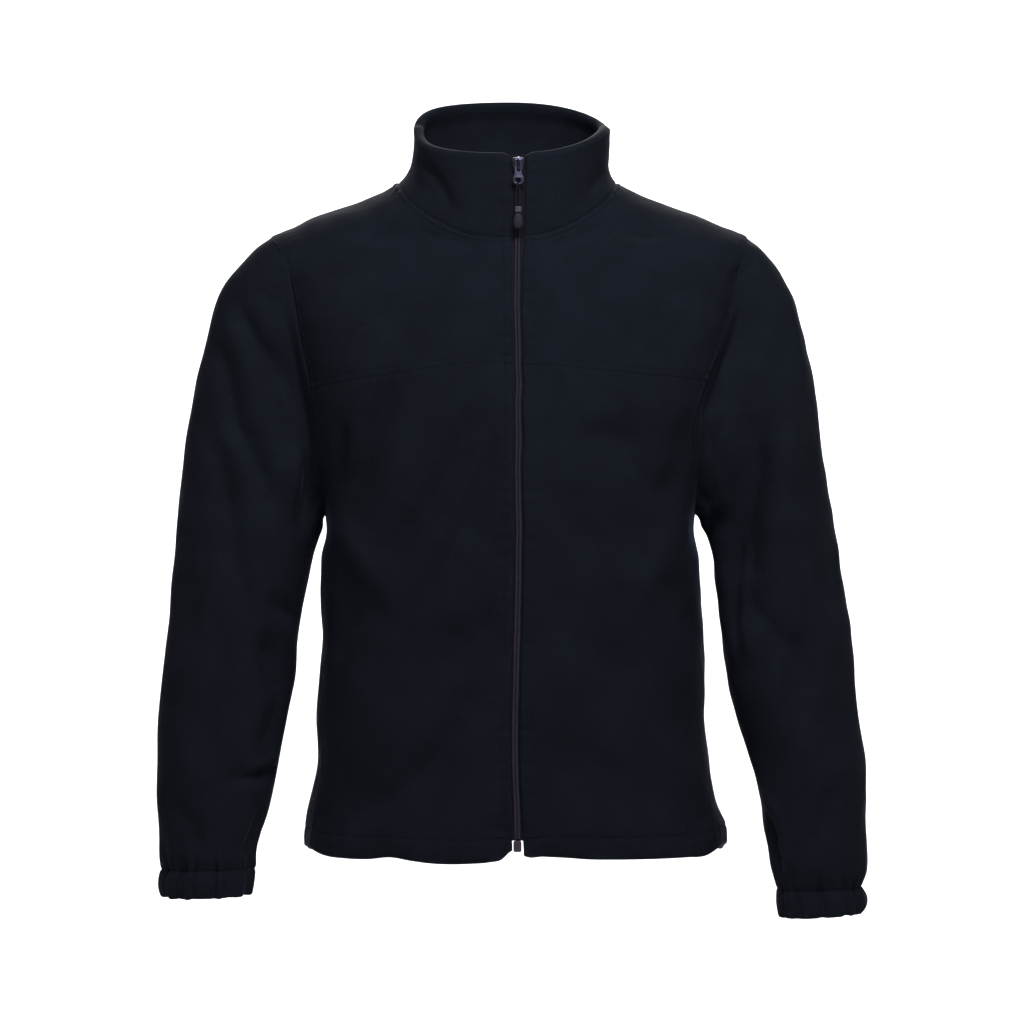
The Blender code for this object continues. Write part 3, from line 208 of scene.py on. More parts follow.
# How far out the armhole's seam lies, down from the shoulder's tip
ARMHOLE = table(
    "z right_front left_front right_back left_back",
    [
        (-330, 187, 183.5, 186, 183),
        (-312, 187.5, 183.5, 189, 186),
        (-292, 188, 182, 192, 189),
        (-253, 189.5, 178.5, 198, 194),
        (-224, 193, 180, 203, 198),
        (-190, 200, 192, 208, 204),
        (-148, 209, 208, 215, 210),
        (-112, 215.5, 218, 221, 216),
        (-82, 222, 222.5, 228, 223),
        (-66, 229, 227, 234, 229),
        (-50, 240, 234, 240, 234),
    ],
)

# Where the side seam runs below the armpit, in degrees round from the front
SIDE_SEAM = table(
    "z angle",
    [(-660, 77), (-580, 77), (-500, 80), (-420, 85), (-370, 88), (-335, 90)],
)

# The seam under the yoke, across the front from the zip
YOKE_SEAM = table(
    "x z",
    [
        (-240, -212),
        (-189, -202),
        (-129, -192),
        (-69, -184),
        (0, -180),
        (20, -181),
        (85, -187),
        (134, -191),
        (189, -196),
        (240, -204),
    ],
)

# The zip's middle and the half gap between the edges of the fleece beside it
ZIP = table(
    "z middle_x half_gap",
    [
        (-660, 5.4, 6.5),
        (-616, 4.8, 6.2),
        (-578, 3.2, 6.0),
        (-539, 2.7, 6.0),
        (-500, 3.4, 6.0),
        (-462, 4.3, 6.0),
        (-423, 5.3, 6.0),
        (-366, 6.3, 6.0),
        (-290, 5.8, 6.0),
        (-192, 6.2, 6.0),
        (-120, 4.9, 6.0),
        (-85, 5.1, 6.3),
        (-57, 5.4, 7.8),
        (-20, 5.7, 8.4),
        (26, 5.9, 8.4),
    ],
)

# Sections along each sleeve, by the points where its outline shows, out and in
SLEEVE_COLUMNS = "outer_x outer_z inner_x inner_z middle_y half_depth squareness"
SLEEVES = {
    "right": table(
        SLEEVE_COLUMNS,
        [
            (240, -50, 186, -325, 4, 66, 2.1),
            (262, -67, 189, -329, 4, 67, 2.1),
            (288, -100, 190, -333, 3, 69, 2.1),
            (304, -150, 191, -340, 2, 70, 2.1),
            (315, -200, 195, -350, 1, 71, 2.1),
            (324, -255, 199, -364, -1, 71, 2.1),
            (331, -315, 203, -385, -4, 70, 2.1),
            (336, -375, 209, -418, -9, 67, 2.1),
            (341, -430, 215, -458, -16, 63, 2.1),
            (346, -485, 220, -502, -23, 59, 2.1),
            (350, -540, 228, -551, -29, 56, 2.1),
            (351, -590, 237, -596, -34, 52, 2.1),
            (348, -640, 250, -642, -37, 46, 2.1),
            (345, -664, 256, -664, -38, 42, 2.1),
            (343, -675, 257, -674, -38, 39, 2.2),
            (346, -688, 258, -686, -38, 42, 2.3),
            (346, -697, 259, -695, -38, 42, 2.3),
            (344, -703, 260, -701, -38, 41, 2.3),
        ],
    ),
    "left": table(
        SLEEVE_COLUMNS,
        [
            (234, -50, 183, -325, 4, 66, 2.1),
            (254, -67, 186, -328, 4, 67, 2.1),
            (276, -100, 188, -332, 3, 69, 2.1),
            (291, -150, 190, -339, 2, 70, 2.1),
            (300, -200, 196, -348, 1, 71, 2.1),
            (308, -255, 200, -361, -1, 71, 2.1),
            (317, -315, 203, -381, -4, 70, 2.1),
            (326, -375, 206, -413, -9, 67, 2.1),
            (334, -430, 210, -452, -16, 63, 2.1),
            (340, -485, 217, -495, -23, 59, 2.1),
            (345, -540, 229, -545, -29, 56, 2.1),
            (349, -590, 243, -592, -34, 53, 2.1),
            (349, -640, 250, -640, -37, 48, 2.1),
            (348, -680, 257, -681, -38, 43, 2.1),
            (344, -694, 262, -696, -38, 39, 2.2),
            (349, -706, 263, -709, -38, 42, 2.3),
            (348, -714, 264, -718, -38, 42, 2.3),
            (345, -719, 265, -723, -38, 41, 2.3),
        ],
    ),
}

SLIDER_OUTLINE = table(
    "z half_width",
    [(-13, 2.6), (-12, 4.0), (-10, 4.7), (-6, 5.4), (-2, 6.0), (0, 6.0), (1.6, 5.5), (2.5, 4.4)],
)
TAB_OUTLINE = table(
    "z half_width",
    [
        (-25.6, 1.6),
        (-24.8, 3.4),
        (-22.5, 5.3),
        (-20, 5.6),
        (-15, 4.2),
        (-11, 3.4),
        (-6, 3.5),
        (-1, 3.5),
        (0.2, 3.2),
        (0.65, 2.4),
    ],
)

# The pull's cord, from one end up through the tab's eye and down to the other
CORD_ROUTE = table(
    "x y z",
    [
        (-1.7, 0.0, CORD_FOOT),
        (-1.7, 0.0, -38.0),
        (-1.6, -0.2, -31.0),
        (-1.1, -1.4, -27.6),
        (-0.5, -2.05, -24.3),
        (0.0, 0.0, -21.6),
        (0.5, 2.05, -24.3),
        (1.1, 1.4, -27.6),
        (1.6, 0.2, -31.0),
        (1.7, 0.0, -38.0),
        (1.7, 0.0, CORD_FOOT),
    ],
)

# Folds: a soft trough (depth below 0) or ridge along an arc, which bows out by bow at its middle.
# lean makes it wider on one side.
FOLD_COLUMNS = "x0 z0 x1 z1 bow width depth lean"
BODY_FOLD_DEPTH, SLEEVE_FOLD_DEPTH = 2.3, 2.0  # the tables' depths are multiplied by these

# The trough in each sleeve beside the armhole: its depth, and how far from the seam it has faded
VALLEY_WALL = 12.0
VALLEYS = {
    "right": table(
        "z depth reach",
        [
            (-330, 1, 20),
            (-300, 5, 26),
            (-270, 13, 32),
            (-240, 17, 34),
            (-205, 14, 34),
            (-165, 9, 30),
            (-120, 3, 26),
            (-60, 0, 24),
        ],
    ),
    "left": table(
        "z depth reach",
        [
            (-330, 2, 22),
            (-300, 9, 32),
            (-270, 18, 42),
            (-240, 21, 46),
            (-215, 21, 44),
            (-190, 20, 38),
            (-160, 15, 32),
            (-120, 5, 26),
            (-60, 0, 22),
        ],
    ),
}
FOLDS = {
    "front": table(
        FOLD_COLUMNS,
        [
            (-116, -201, -156, -312, -3, 13, -4.5, 0.2),
            (-37, -230, -108, -359, 5, 16, -4.5, 0.2),
            (-108, -359, -150, -447, 0, 18, -3.5, 0),
            (-15, -255, -58, -366, 2, 13, -3.2, 0.2),
            (-58, -366, -110, -430, 0, 17, -2.6, 0),
            (3, -401, -69, -474, 3, 18, -3, 0),
            (-30, -482, -88, -581, 5, 18, -4, 0.2),
            (-88, -581, -160, -621, 4, 20, -3.6, 0),
            (-55, -71, -71, -153, 0, 26, 2, 0),
            (-150, -50, -85, -50, -2, 10, -2.4, 0.2),
            (-85, -50, -38, -60, 0, 9, -2.2, 0.2),
            (38, -58, 84, -45, -2, 9, -2.2, 0.2),
            (84, -45, 152, -46, -2, 10, -2.4, 0.2),
            (70, -249, 145, -257, 4, 15, -2, 0.2),
            (102, -255, 139, -310, 0, 14, -2.6, 0),
            (29, -409, 123, -505, 8, 26, -2.6, 0),
            (27, -293, 87, -372, 4, 22, -2, 0),
            (133, -370, 174, -449, 0, 16, -2.2, 0),
            (46, -565, 147, -605, 5, 22, -2.6, 0),
            (-172, -334, -118, -411, 4, 16, 3.2, 0),
            (166, -332, 123, -401, 4, 18, 3, 0),
            (-156, -409, -170, -474, 0, 10, -2, 0),
            (114, -71, 85, -149, 0, 24, 1.6, 0),
            (172, -235, 150, -312, 3, 12, -2.6, 0),
            (-166, -235, -172, -305, 0, 9, -2.2, 0),
        ],
    ),
    "back": table(
        FOLD_COLUMNS,
        [
            (-150, -140, -95, -230, 3, 20, -5, 0.2),
            (150, -135, 100, -225, -3, 20, -5, 0.2),
            (-165, -330, -60, -430, 6, 22, -5, 0.2),
            (165, -325, 70, -420, -6, 22, -5, 0.2),
            (-150, -470, -20, -520, 5, 24, 4.5, 0),
            (140, -480, 30, -540, -5, 24, -5, 0.2),
            (-120, -570, 10, -610, 4, 22, -4, 0),
            (-95, -230, -60, -300, 0, 20, -2.6, 0),
            (100, -225, 66, -296, 0, 18, -2.6, 0),
            (-60, -60, 60, -58, -4, 16, -1.8, 0.2),
            (-60, -430, 0, -462, 0, 20, -3, 0),
            (168, -250, 128, -300, 2, 12, -2.6, 0.2),
            (-168, -250, -124, -306, -2, 12, -2.6, 0.2),
            (60, -600, 160, -575, 3, 18, -2.4, 0),
            (-20, -140, 5, -260, 0, 30, 1.6, 0),
        ],
    ),
    "right_sleeve": table(
        FOLD_COLUMNS,
        [
            (-272, -121, -234, -216, 3, 11, -5, 0.2),
            (-234, -216, -218, -271, 0, 11, -3.4, 0),
            (-244, -158, -203, -232, 4, 10, -5, 0.2),
            (-294, -160, -272, -238, 3, 12, -4, 0.2),
            (-272, -238, -236, -310, 3, 12, -5, 0.2),
            (-301, -243, -272, -367, 5, 14, -3.8, 0.1),
            (-272, -367, -229, -482, -4, 13, -3.4, 0),
            (-240, -109, -205, -160, 4, 10, -3.6, 0),
            (-203, -164, -189, -273, 4, 9, -4, 0.2),
            (-191, -271, -207, -334, 0, 9, -5, 0),
            (-236, -411, -211, -433, 0, 9, -2.4, 0.1),
            (-238, -452, -225, -511, -3, 10, -4.2, 0.2),
            (-225, -511, -241, -554, 0, 10, -4.2, 0),
            (-280, -588, -234, -579, 0, 10, -2.6, 0.1),
            (-258, -576, -225, -564, 0, 5, 2.4, 0),
            (-248, -622, -264, -661, 3, 7, -4, 0.2),
            (-331, -371, -315, -452, 3, 15, -2.6, 0),
            (-327, -509, -290, -570, 5, 18, -3, 0.2),
            (-335, -608, -303, -655, 3, 12, -2.2, 0),
            (-286, -450, -302, -529, 4, 16, -2.2, 0),
            (-256, -653, -262, -698, 0, 4, 3, 0),
        ],
    ),
    "left_sleeve": table(
        FOLD_COLUMNS,
        [
            (277, -120, 267, -229, 2, 15, 2.6, 0),
            (267, -229, 252, -371, 3, 16, 4.0, 0),
            (245, -238, 242, -288, 0, 14, -3.0, 0),
            (242, -288, 214, -378, -3, 17, -3.0, 0),
            (228, -122, 200, -205, -4, 13, -4.2, 0),
            (206, -238, 199, -296, -2, 13, -3.0, 0),
            (236, -210, 214, -400, 0, 30, -7.0, 0),
            (292, -444, 270, -515, 2, 18, -4.4, 0.2),
            (270, -515, 240, -586, 0, 17, -4, 0),
            (212, -367, 222, -452, -2, 6, -4.6, 0.2),
            (223, -367, 232, -458, -3, 6, 2.6, 0),
            (230, -413, 276, -474, 4, 14, -2.8, 0),
            (247, -599, 264, -649, 3, 5, 3, 0.2),
            (264, -649, 275, -677, 0, 5, 3, 0),
            (255, -625, 261, -690, 0, 6, -4, 0.2),
            (321, -332, 305, -432, 3, 16, -2.8, 0),
            (335, -460, 319, -551, 3, 16, -2.6, 0),
            (315, -596, 285, -659, 4, 14, -2.6, 0),
            (299, -233, 290, -312, 0, 13, -2.2, 0),
            (296, -509, 313, -598, 0, 16, -2, 0),
        ],
    ),
    "collar": table(
        FOLD_COLUMNS,
        [
            (-90, 20, -60, -33, 5, 6, -3.4, 0.2),
            (86, 16, 79, -10, 0, 6, -3, 0.2),
            (-40, -30, -20, 10, 3, 12, 1.2, 0),
            (60, -34, 40, 0, 3, 12, 1.2, 0),
        ],
    ),
}

# How far the hem's edge lies above (or below) its level, across the front
HEM_LINE = table(
    "x rise",
    [
        (-215, 11),
        (-198, 4),
        (-184, 0),
        (-165, -1),
        (-140, -0.5),
        (-118, 2),
        (-97, -1),
        (-79, -3),
        (-40, -3),
        (-22, -1.5),
        (-10, 1.5),
        (-3, 8),
        (5, 11),
        (12, 5),
        (30, 4),
        (56, 2.5),
        (75, 1),
        (95, 0.5),
        (172, 0),
        (190, 0),
        (205, 6),
        (215, 9),
    ],
)


# --- the shape of the cloth -----------------------------------------------------------------


def smooth(keys, values, at):
    """Cubic curve through a column's values, its slope at each row taken from the rows beside it."""
    slopes = np.gradient(values, keys)
    low = np.clip(np.searchsorted(keys, at, side="right") - 1, 0, len(keys) - 2)
    step = keys[low + 1] - keys[low]
    t = np.clip((at - keys[low]) / step, 0, 1)
    rise = values[low + 1] - values[low]
    first, last = slopes[low] * step, slopes[low + 1] * step
    return values[low] + t * (first + t * (3 * rise - 2 * first - last + t * (first + last - 2 * rise)))


def column(rows, name, key, at):
    """The named column's smooth curve, read where the key column passes a value."""
    return smooth(rows[key], rows[name], at)


def fade(value, low, high):
    """0 up to low, 1 from high on, and a smooth step between."""
    t = np.clip((value - low) / (high - low), 0, 1)
    return t * t * (3 - 2 * t)


def unit(vectors):
    """Each vector divided by its length."""
    return vectors / np.maximum(np.linalg.norm(vectors, axis=-1, keepdims=True), 1e-12)


def bell(value, width):
    """exp(-(value / width) squared): 1 at 0, and near 0 from two widths on."""
    return np.exp(-((value / width) ** 2))


def waves(run, seed, shortest, longest):
    """Sum of five sines of seeded lengths and phases along a run, about 1 high."""
    draw = np.random.default_rng(seed)
    total = np.zeros_like(np.asarray(run, float))
    for _ in range(5):
        total += np.sin(run * math.tau / draw.uniform(shortest, longest) + draw.uniform(0, math.tau))
    return total / 1.6


def ripples(points, seed, size):
    """Sum of eight plane sine waves in seeded directions through space, about 1 high."""
    draw = np.random.default_rng(seed)
    total = np.zeros(points.shape[:-1])
    for _ in range(8):
        direction = unit(draw.normal(size=3) * (1, 0.6, 0.7))
        wave = math.tau / (size * draw.uniform(0.7, 1.5))
        total += np.sin(points @ direction * wave + draw.uniform(0, math.tau))
    return total / 2


def ring_point(rows, key, angle, at):
    """Superellipse rings: across goes with sin, along with cos, and the height falls by cos too."""
    row = {name: smooth(rows[key], rows[name], at) for name in rows}
    sine, cosine = np.sin(angle), np.cos(angle)
    power = 2 / row["squareness"]
    across = np.sign(sine) * np.abs(sine) ** power
    along = np.abs(cosine) ** power
    end_y = np.where(cosine > 0, row["front_y"], row["back_y"])
    end_z = np.where(cosine > 0, row["front_z"], row["back_z"])
    x = row["middle_x"] + row["half_width"] * across
    y = row["side_y"] + (end_y - row["side_y"]) * along
    share = np.abs(cosine) ** DROP
    if "right" in row:
        power = np.where(sine < 0, row["right"], row["left"]) / 2
        share = (cosine**2 + SIDE_EASE**2) ** power - SIDE_EASE ** (2 * power)
        share = share / ((1 + SIDE_EASE**2) ** power - SIDE_EASE ** (2 * power))
    z = row["side_z"] + (end_z - row["side_z"]) * share
    return np.stack([x, y, z], -1)


def smooth_body(angle, height):
    """The body's rings. Off the seams, the bend at the shoulder's tip and the armpit is eased."""
    sharp = ring_point(BODY, "front_z", angle, height)
    soft = sum(
        share * ring_point(BODY, "front_z", angle, np.clip(height + lift, HEM, NECKLINE))
        for lift, share in ((-26, 0.15), (-13, 0.22), (0, 0.26), (13, 0.22), (26, 0.15))
    )
    bent = fade(height, -400, -350) * (1 - fade(height, -130, -90))
    ease = (fade(np.abs(np.cos(angle)), 0.1, 0.5) * bent)[..., None]
    return sharp * (1 - ease) + soft * ease


def smooth_collar(angle, up):
    """The collar's rings, by the share of its height."""
    return ring_point(COLLAR, "up", angle, up)


def normal_of(surface, u, v, step_u, step_v):
    """A surface's unit normal: the cross product of its differences along u and along v."""
    along_u = surface(u + step_u, v) - surface(u - step_u, v)
    along_v = surface(u, v + step_v) - surface(u, v - step_v)
    return unit(np.cross(along_u, along_v))


def fold_height(points, folds):
    """Sum of the folds: a bell across each arc, half gone at the arc's two ends and faded past them.

    So two arcs that meet end to end make one fold of even height.
    """
    height = np.zeros(points.shape[:-1])
    x, z = points[..., 0], points[..., 2]
    for x0, z0, x1, z1, bow, width, depth, lean in zip(*(folds[name] for name in FOLD_COLUMNS.split())):
        length = math.hypot(x1 - x0, z1 - z0)
        run_x, run_z = (x1 - x0) / length, (z1 - z0) / length
        along = (x - x0) * run_x + (z - z0) * run_z
        share = np.clip(along / length, 0, 1)
        beside = (z - z0) * run_x - (x - x0) * run_z - 4 * bow * share * (1 - share)
        past = np.maximum(-along, along - length)
        reach = 0.8 * width + 0.18 * length
        spread = width * (1 + lean * np.tanh(beside / width))
        height += depth * bell(beside, spread) * (1 - fade(past, -reach, reach))
    return height


def shown(normal_y, towards):
    """1 where the cloth faces the front (towards -1) or the back (1), 0 where it faces away."""
    return fade(normal_y * towards, 0.05, 0.6)


def hem_rise(points):
    """The hem's uneven edge: a table across the front, slow waves across the back."""
    x, y, z = (points[..., i] for i in range(3))
    front = smooth(HEM_LINE["x"], HEM_LINE["rise"], np.clip(x, -215, 215))
    back = 1.6 * waves(x, 5, 90, 200)
    share = fade(-y, -20, 30)
    reach = np.where(np.abs(x - 4) < 25, 14 + np.abs(x - 4), 45)
    return (front * share + back * (1 - share)) * (1 - fade(z - HEM, 2, reach))


def body(angle, height, inset=0.0, detail=0.0):
    """The body's cloth with its folds. inset moves it inwards along its normal, detail outwards."""
    angle, height = np.broadcast_arrays(angle, height)
    points = smooth_body(angle, height)
    normals = normal_of(smooth_body, angle, height, 0.02, 2.0)
    push = BODY_FOLD_DEPTH * fold_height(points, FOLDS["front"]) * shown(normals[..., 1], -1)
    push += BODY_FOLD_DEPTH * fold_height(points, FOLDS["back"]) * shown(normals[..., 1], 1)
    push += 0.9 * ripples(points, 11, 110) + 0.22 * ripples(points, 12, 36)
    near_zip = np.abs(points[..., 0] - column(ZIP, "middle_x", "z", height))
    push *= fade(height, HEM, HEM + 40) * np.where(np.cos(angle) > 0, fade(near_zip, 8, 30), 1)
    push *= 1 - 0.8 * fade(height, -75, NECKLINE)
    return points + normals * (push + detail - inset)[..., None]


def angle_at_x(rows, key, at, x):
    """The angle, near the front, at which a ring passes x."""
    share = (x - column(rows, "middle_x", key, at)) / column(rows, "half_width", key, at)
    sine = np.sign(share) * np.abs(share) ** (column(rows, "squareness", key, at) / 2)
    return np.arcsin(np.clip(sine, -1, 1))


def place_at(x, z, face="front"):
    """The angle and the ring at which the front or the back passes x and z, found by halving.

    The rings' own widths give the angle, so the aim is mended by what the eased bends take off,
    half of it a round.
    """
    aim = x
    for _ in range(AIM_ROUNDS):
        low, high = np.full_like(x, HEM), np.full_like(x, NECKLINE)
        for _ in range(HALVINGS):
            middle = (low + high) / 2
            angle = angle_at_x(BODY, "front_z", middle, aim)
            if face == "back":
                angle = np.copysign(math.pi - np.abs(angle), x)
            above = smooth_body(angle, middle)[..., 2] > z
            low, high = np.where(above, low, middle), np.where(above, middle, high)
        aim = aim + AIM_STEP * (x - smooth_body(angle, middle)[..., 0])
    return np.stack([angle, middle], -1)


def runs_of(points):
    """How far along a line of points each of them lies."""
    return np.concatenate([[0], np.cumsum(np.linalg.norm(np.diff(points, axis=0), axis=1))])


def spaced(places, shares):
    """Places along a line of them, at shares of its length on the body."""
    run = runs_of(smooth_body(places[:, 0], places[:, 1]))
    return np.stack([np.interp(shares * run[-1], run, places[:, i]) for i in (0, 1)], -1)


@functools.lru_cache(maxsize=None)
def armhole_line(side, face):
    """The armhole's seam as places on the body, from the armpit up to the shoulder's tip.

    Its first places follow a quarter of an ellipse, so that it turns round below the arm.
    """
    x, z = ARMHOLE[f"{side}_{face}"], ARMHOLE["z"]
    run = runs_of(np.stack([x, z], -1))
    at = np.linspace(0, run[-1], ARMHOLE_PLACES)
    places = place_at(SIDES[side] * smooth(run, x, at), smooth(run, z, at), face)
    places[0] = SIDES[side] * math.pi / 2, ARMPIT
    places[-1] = SIDES[side] * math.pi / 2, SHOULDER_TIP
    turn = np.linspace(0, math.pi / 2, PIT_TURN + 1)
    angle, height = places[PIT_TURN]
    places[: PIT_TURN + 1, 0] = places[0, 0] + (angle - places[0, 0]) * np.sin(turn)
    places[: PIT_TURN + 1, 1] = ARMPIT + (height - ARMPIT) * (1 - np.cos(turn))
    return places


def side_seam_angle(side, height):
    """The angle of the side seam at a ring: the table's degrees, turned to radians."""
    return SIDES[side] * np.radians(column(SIDE_SEAM, "angle", "z", height))


def zip_edge_x(side, z):
    """Where the fleece ends beside the zip: its middle, and half the gap to the side."""
    return column(ZIP, "middle_x", "z", z) + SIDES[side] * column(ZIP, "half_gap", "z", z)


def zip_edge_angle(side, height):
    """The angle at which a ring passes the fleece's edge beside the zip."""
    return angle_at_x(BODY, "front_z", height, zip_edge_x(side, height))


def split_armhole(side):
    """The front of the armhole, cut in two where the yoke's seam reaches it."""
    line = armhole_line(side, "front")
    points = smooth_body(line[:, 0], line[:, 1])
    seam_z = smooth(YOKE_SEAM["x"], YOKE_SEAM["z"], points[:, 0])
    cut = int(np.argmax(points[:, 2] > seam_z))
    return line[: cut + 1], line[cut:]


def yoke_seam(side, shares):
    """Places along the yoke's seam, from the zip to the armhole."""
    start_x = zip_edge_x(side, -180.0)
    end = split_armhole(side)[1][0]
    end_x = smooth_body(end[0], end[1])[0]
    x = start_x + (end_x - start_x) * np.linspace(0, 1, 120)
    places = place_at(x, smooth(YOKE_SEAM["x"], YOKE_SEAM["z"], x))
    places[-1] = end
    return spaced(places, shares)


@functools.lru_cache(maxsize=None)
def armhole_turns(side):
    """The armhole's seam, from the tip by the front, the armpit and the back: turns and points.

    A turn's cosine is the share of the way along the line from the armpit to the tip.
    """
    front = armhole_line(side, "front")[::-1]
    line = np.concatenate([front, armhole_line(side, "back")[1:]])
    points = smooth_body(line[:, 0], line[:, 1])
    tip, pit = (smooth_body(SIDES[side] * math.pi / 2, height) for height in (SHOULDER_TIP, ARMPIT))
    middle, axis = (tip + pit) / 2, (tip - pit) / 2
    turns = np.arccos(np.clip((points - middle) @ axis / (axis @ axis), -1, 1))
    behind = np.arange(len(line)) > np.argmin(np.abs(line[:, 1] - ARMPIT))
    return np.where(behind, math.tau - turns, turns), points


def sleeve_lengths(side):
    """How far down the sleeve each of its sections lies, along its middle."""
    rows = SLEEVES[side]
    x = (rows["outer_x"] + rows["inner_x"]) / 2
    z = (rows["outer_z"] + rows["inner_z"]) / 2
    return runs_of(np.stack([x, z], -1))


def plain_sleeve(side, around, down):
    """Superellipse sections between the outer and the inner line of the sleeve's outline."""
    lengths = sleeve_lengths(side)
    row = {name: smooth(lengths, values, down) for name, values in SLEEVES[side].items()}
    power = 2 / row["squareness"]
    cosine, sine = np.cos(around), np.sin(around)
    out = np.sign(cosine) * np.abs(cosine) ** power
    forward = np.sign(sine) * np.abs(sine) ** power
    x = (row["outer_x"] + row["inner_x"]) / 2 + out * (row["outer_x"] - row["inner_x"]) / 2
    y = row["middle_y"] - forward * row["half_depth"]
    z = (row["outer_z"] + row["inner_z"]) / 2 + out * (row["outer_z"] - row["inner_z"]) / 2
    return np.stack([SIDES[side] * x, y, z], -1)


def smooth_sleeve(side, around, down, seam):
    """The sections, drawn near the shoulder to the shape of the armhole's seam."""
    turns, points = seam
    at = np.mod(around, math.tau)
    lead = np.stack([np.interp(at, turns, points[:, i]) for i in range(3)], -1)
    lead -= plain_sleeve(side, around, np.zeros_like(down))
    return plain_sleeve(side, around, down) + lead * (1 - fade(down, 0, CAP_REACH))[..., None]


def sleeve_valley(side, around, points):
    """How far the sleeve sinks behind the body's edge, close to the armhole's seam."""
    from_seam = run_along(points, 0)
    z = points[..., 2]
    depth = column(VALLEYS[side], "depth", "z", z)
    reach = column(VALLEYS[side], "reach", "z", z)
    facing = fade(np.sin(around), 0.0, 0.5) + 0.5 * fade(-np.sin(around), 0.0, 0.5)
    return depth * facing * fade(from_seam, 0, VALLEY_WALL) * bell(from_seam, reach)


def sleeve_detail(side, around, down, points):
    """Fine relief: the sleeve head, the seam under the arm, ripples and the cuff's gathers."""
    length = sleeve_lengths(side)[-1]
    under = np.abs(np.mod(around, math.tau) - math.pi) * SLEEVE_RADIUS
    detail = 0.9 * bell(down - 9, 7) * fade(np.cos(around), 0.0, 0.8) - 0.8 * bell(under, 2.0)
    detail = detail - sleeve_valley(side, around, points)
    detail = detail + 0.8 * ripples(points, 21 + SIDES[side], 90) * fade(down, 10, 60)
    detail += 0.25 * ripples(points, 24 + SIDES[side], 30)
    turn = around * SLEEVE_RADIUS
    casing = fade(down, length - CUFF_STITCH - 26, length - CUFF_STITCH)
    gather = waves(turn, 31 + SIDES[side], 6.5, 15) * casing
    gather *= 1 - 0.5 * fade(down, length - 14, length)
    gather += 1.3 * waves(turn, 35 + SIDES[side], 16, 34) * fade(down, length - 75, length - CUFF_STITCH)
    channel = bell(down - (length - CUFF_STITCH), 2.2)
    return detail + 0.85 * gather - 1.3 * channel


def sleeve(side, around, down, inset=0.0, detail=0.0):
    """The sleeve's cloth with its folds. inset moves it inwards, detail outwards."""
    around, down = np.broadcast_arrays(around, down)
    seam = armhole_turns(side)

    def surface(u, v):
        return smooth_sleeve(side, u, v, seam)

    points = surface(around, down)
    length = sleeve_lengths(side)[-1]
    inside = np.clip(down, 3.0, length - 3.0)
    normals = SIDES[side] * normal_of(surface, around, inside, 0.03, 2.5)
    folds = SLEEVE_FOLD_DEPTH * fold_height(points, FOLDS[f"{side}_sleeve"])
    push = folds * (shown(normals[..., 1], -1) + 0.7 * shown(normals[..., 1], 1))
    push *= fade(down, 5, 40) * (1 - fade(down, length - 60, length - 30))
    push += sleeve_detail(side, around, down, points)
    return points + normals * (push + detail - inset)[..., None]


def collar(angle, up, inset=0.0, detail=0.0):
    """The collar's cloth with its folds. inset moves it inwards, detail outwards."""
    angle, up = np.broadcast_arrays(angle, up)
    normals = normal_of(smooth_collar, angle, np.clip(up, 0.03, 0.97), 0.02, 0.03)
    points = smooth_collar(angle, up)
    push = fold_height(points, FOLDS["collar"]) * shown(normals[..., 1], -1) * fade(up, 0.0, 0.3)
    return points + normals * (push + detail - inset)[..., None]


# --- grids of points that become pieces -----------------------------------------------------

NEAR_SEAM = np.array([0, 0.7, 1.4, 2.2, 3.1, 4.2, 5.4, 6.6, 7.8, 9.2, 11.0])


def graded(length, step, first=True, last=True):
    """Shares of a length: close together beside a seam, and a step apart elsewhere."""
    start = NEAR_SEAM if first else NEAR_SEAM[:1]
    end = length - (NEAR_SEAM if last else NEAR_SEAM[:1])[::-1]
    count = max(2, round((end[0] - start[-1]) / step)) + 1
    middle = np.linspace(start[-1], end[0], count)[1:-1]
    return np.concatenate([start, middle, end]) / length


def turned_edge(depth, step):
    """(distance from the fold's foot, inset) down one layer, round the turn and up the other."""
    turn = np.linspace(0, math.pi, 9)
    outer = depth * (1 - graded(depth - TURN, step, True, False) * (depth - TURN) / depth)
    inner = np.linspace(TURN, depth, max(3, round(depth / step)))[1:]
    away = np.concatenate([outer[:-1], TURN * (1 - np.sin(turn)), inner])
    inset = np.concatenate([0 * outer[:-1], TURN * (1 - np.cos(turn)), 2 * TURN + 0 * inner])
    return away, inset


def patch(first, last, foot, head, up, over):
    """Coons patch: the places inside four edges, the first and last column, the foot and head row."""
    up, over = up[:, None, None], over[None, :, None]
    between_columns = first[:, None] * (1 - over) + last[:, None] * over
    between_rows = foot[None] * (1 - up) + head[None] * up
    low = foot[0] * (1 - over) + foot[-1] * over
    high = head[0] * (1 - over) + head[-1] * over
    return between_columns + between_rows - low * (1 - up) - high * up


def ring_line(first, last, shares):
    """Places along a ring, or between two near ones, at shares of the length."""
    at = np.linspace(0, 1, 400)[:, None]
    return spaced(first * (1 - at) + last * at, shares)


def with_hem(places, step):
    """A patch with the rows of its turned-up hem put below it, and the inset of every row."""
    away, inset = turned_edge(HEM_DEPTH, step)
    rows = [places[0] + (0, HEM + gap - places[0, 0, 1]) for gap in away[1:][::-1]]
    whole = np.concatenate([np.array(rows), places])
    return whole, np.concatenate([inset[1:][::-1], np.zeros(len(places))])[:, None]


def along_zip(side, height):
    """Places up the fleece's edge beside the zip."""
    return np.stack([zip_edge_angle(side, height), height], -1)


def side_rings(step):
    """Rings from above the hem's turn to the armpit."""
    low = HEM + HEM_DEPTH
    return low + graded(ARMPIT - low, step, True, False) * (ARMPIT - low)


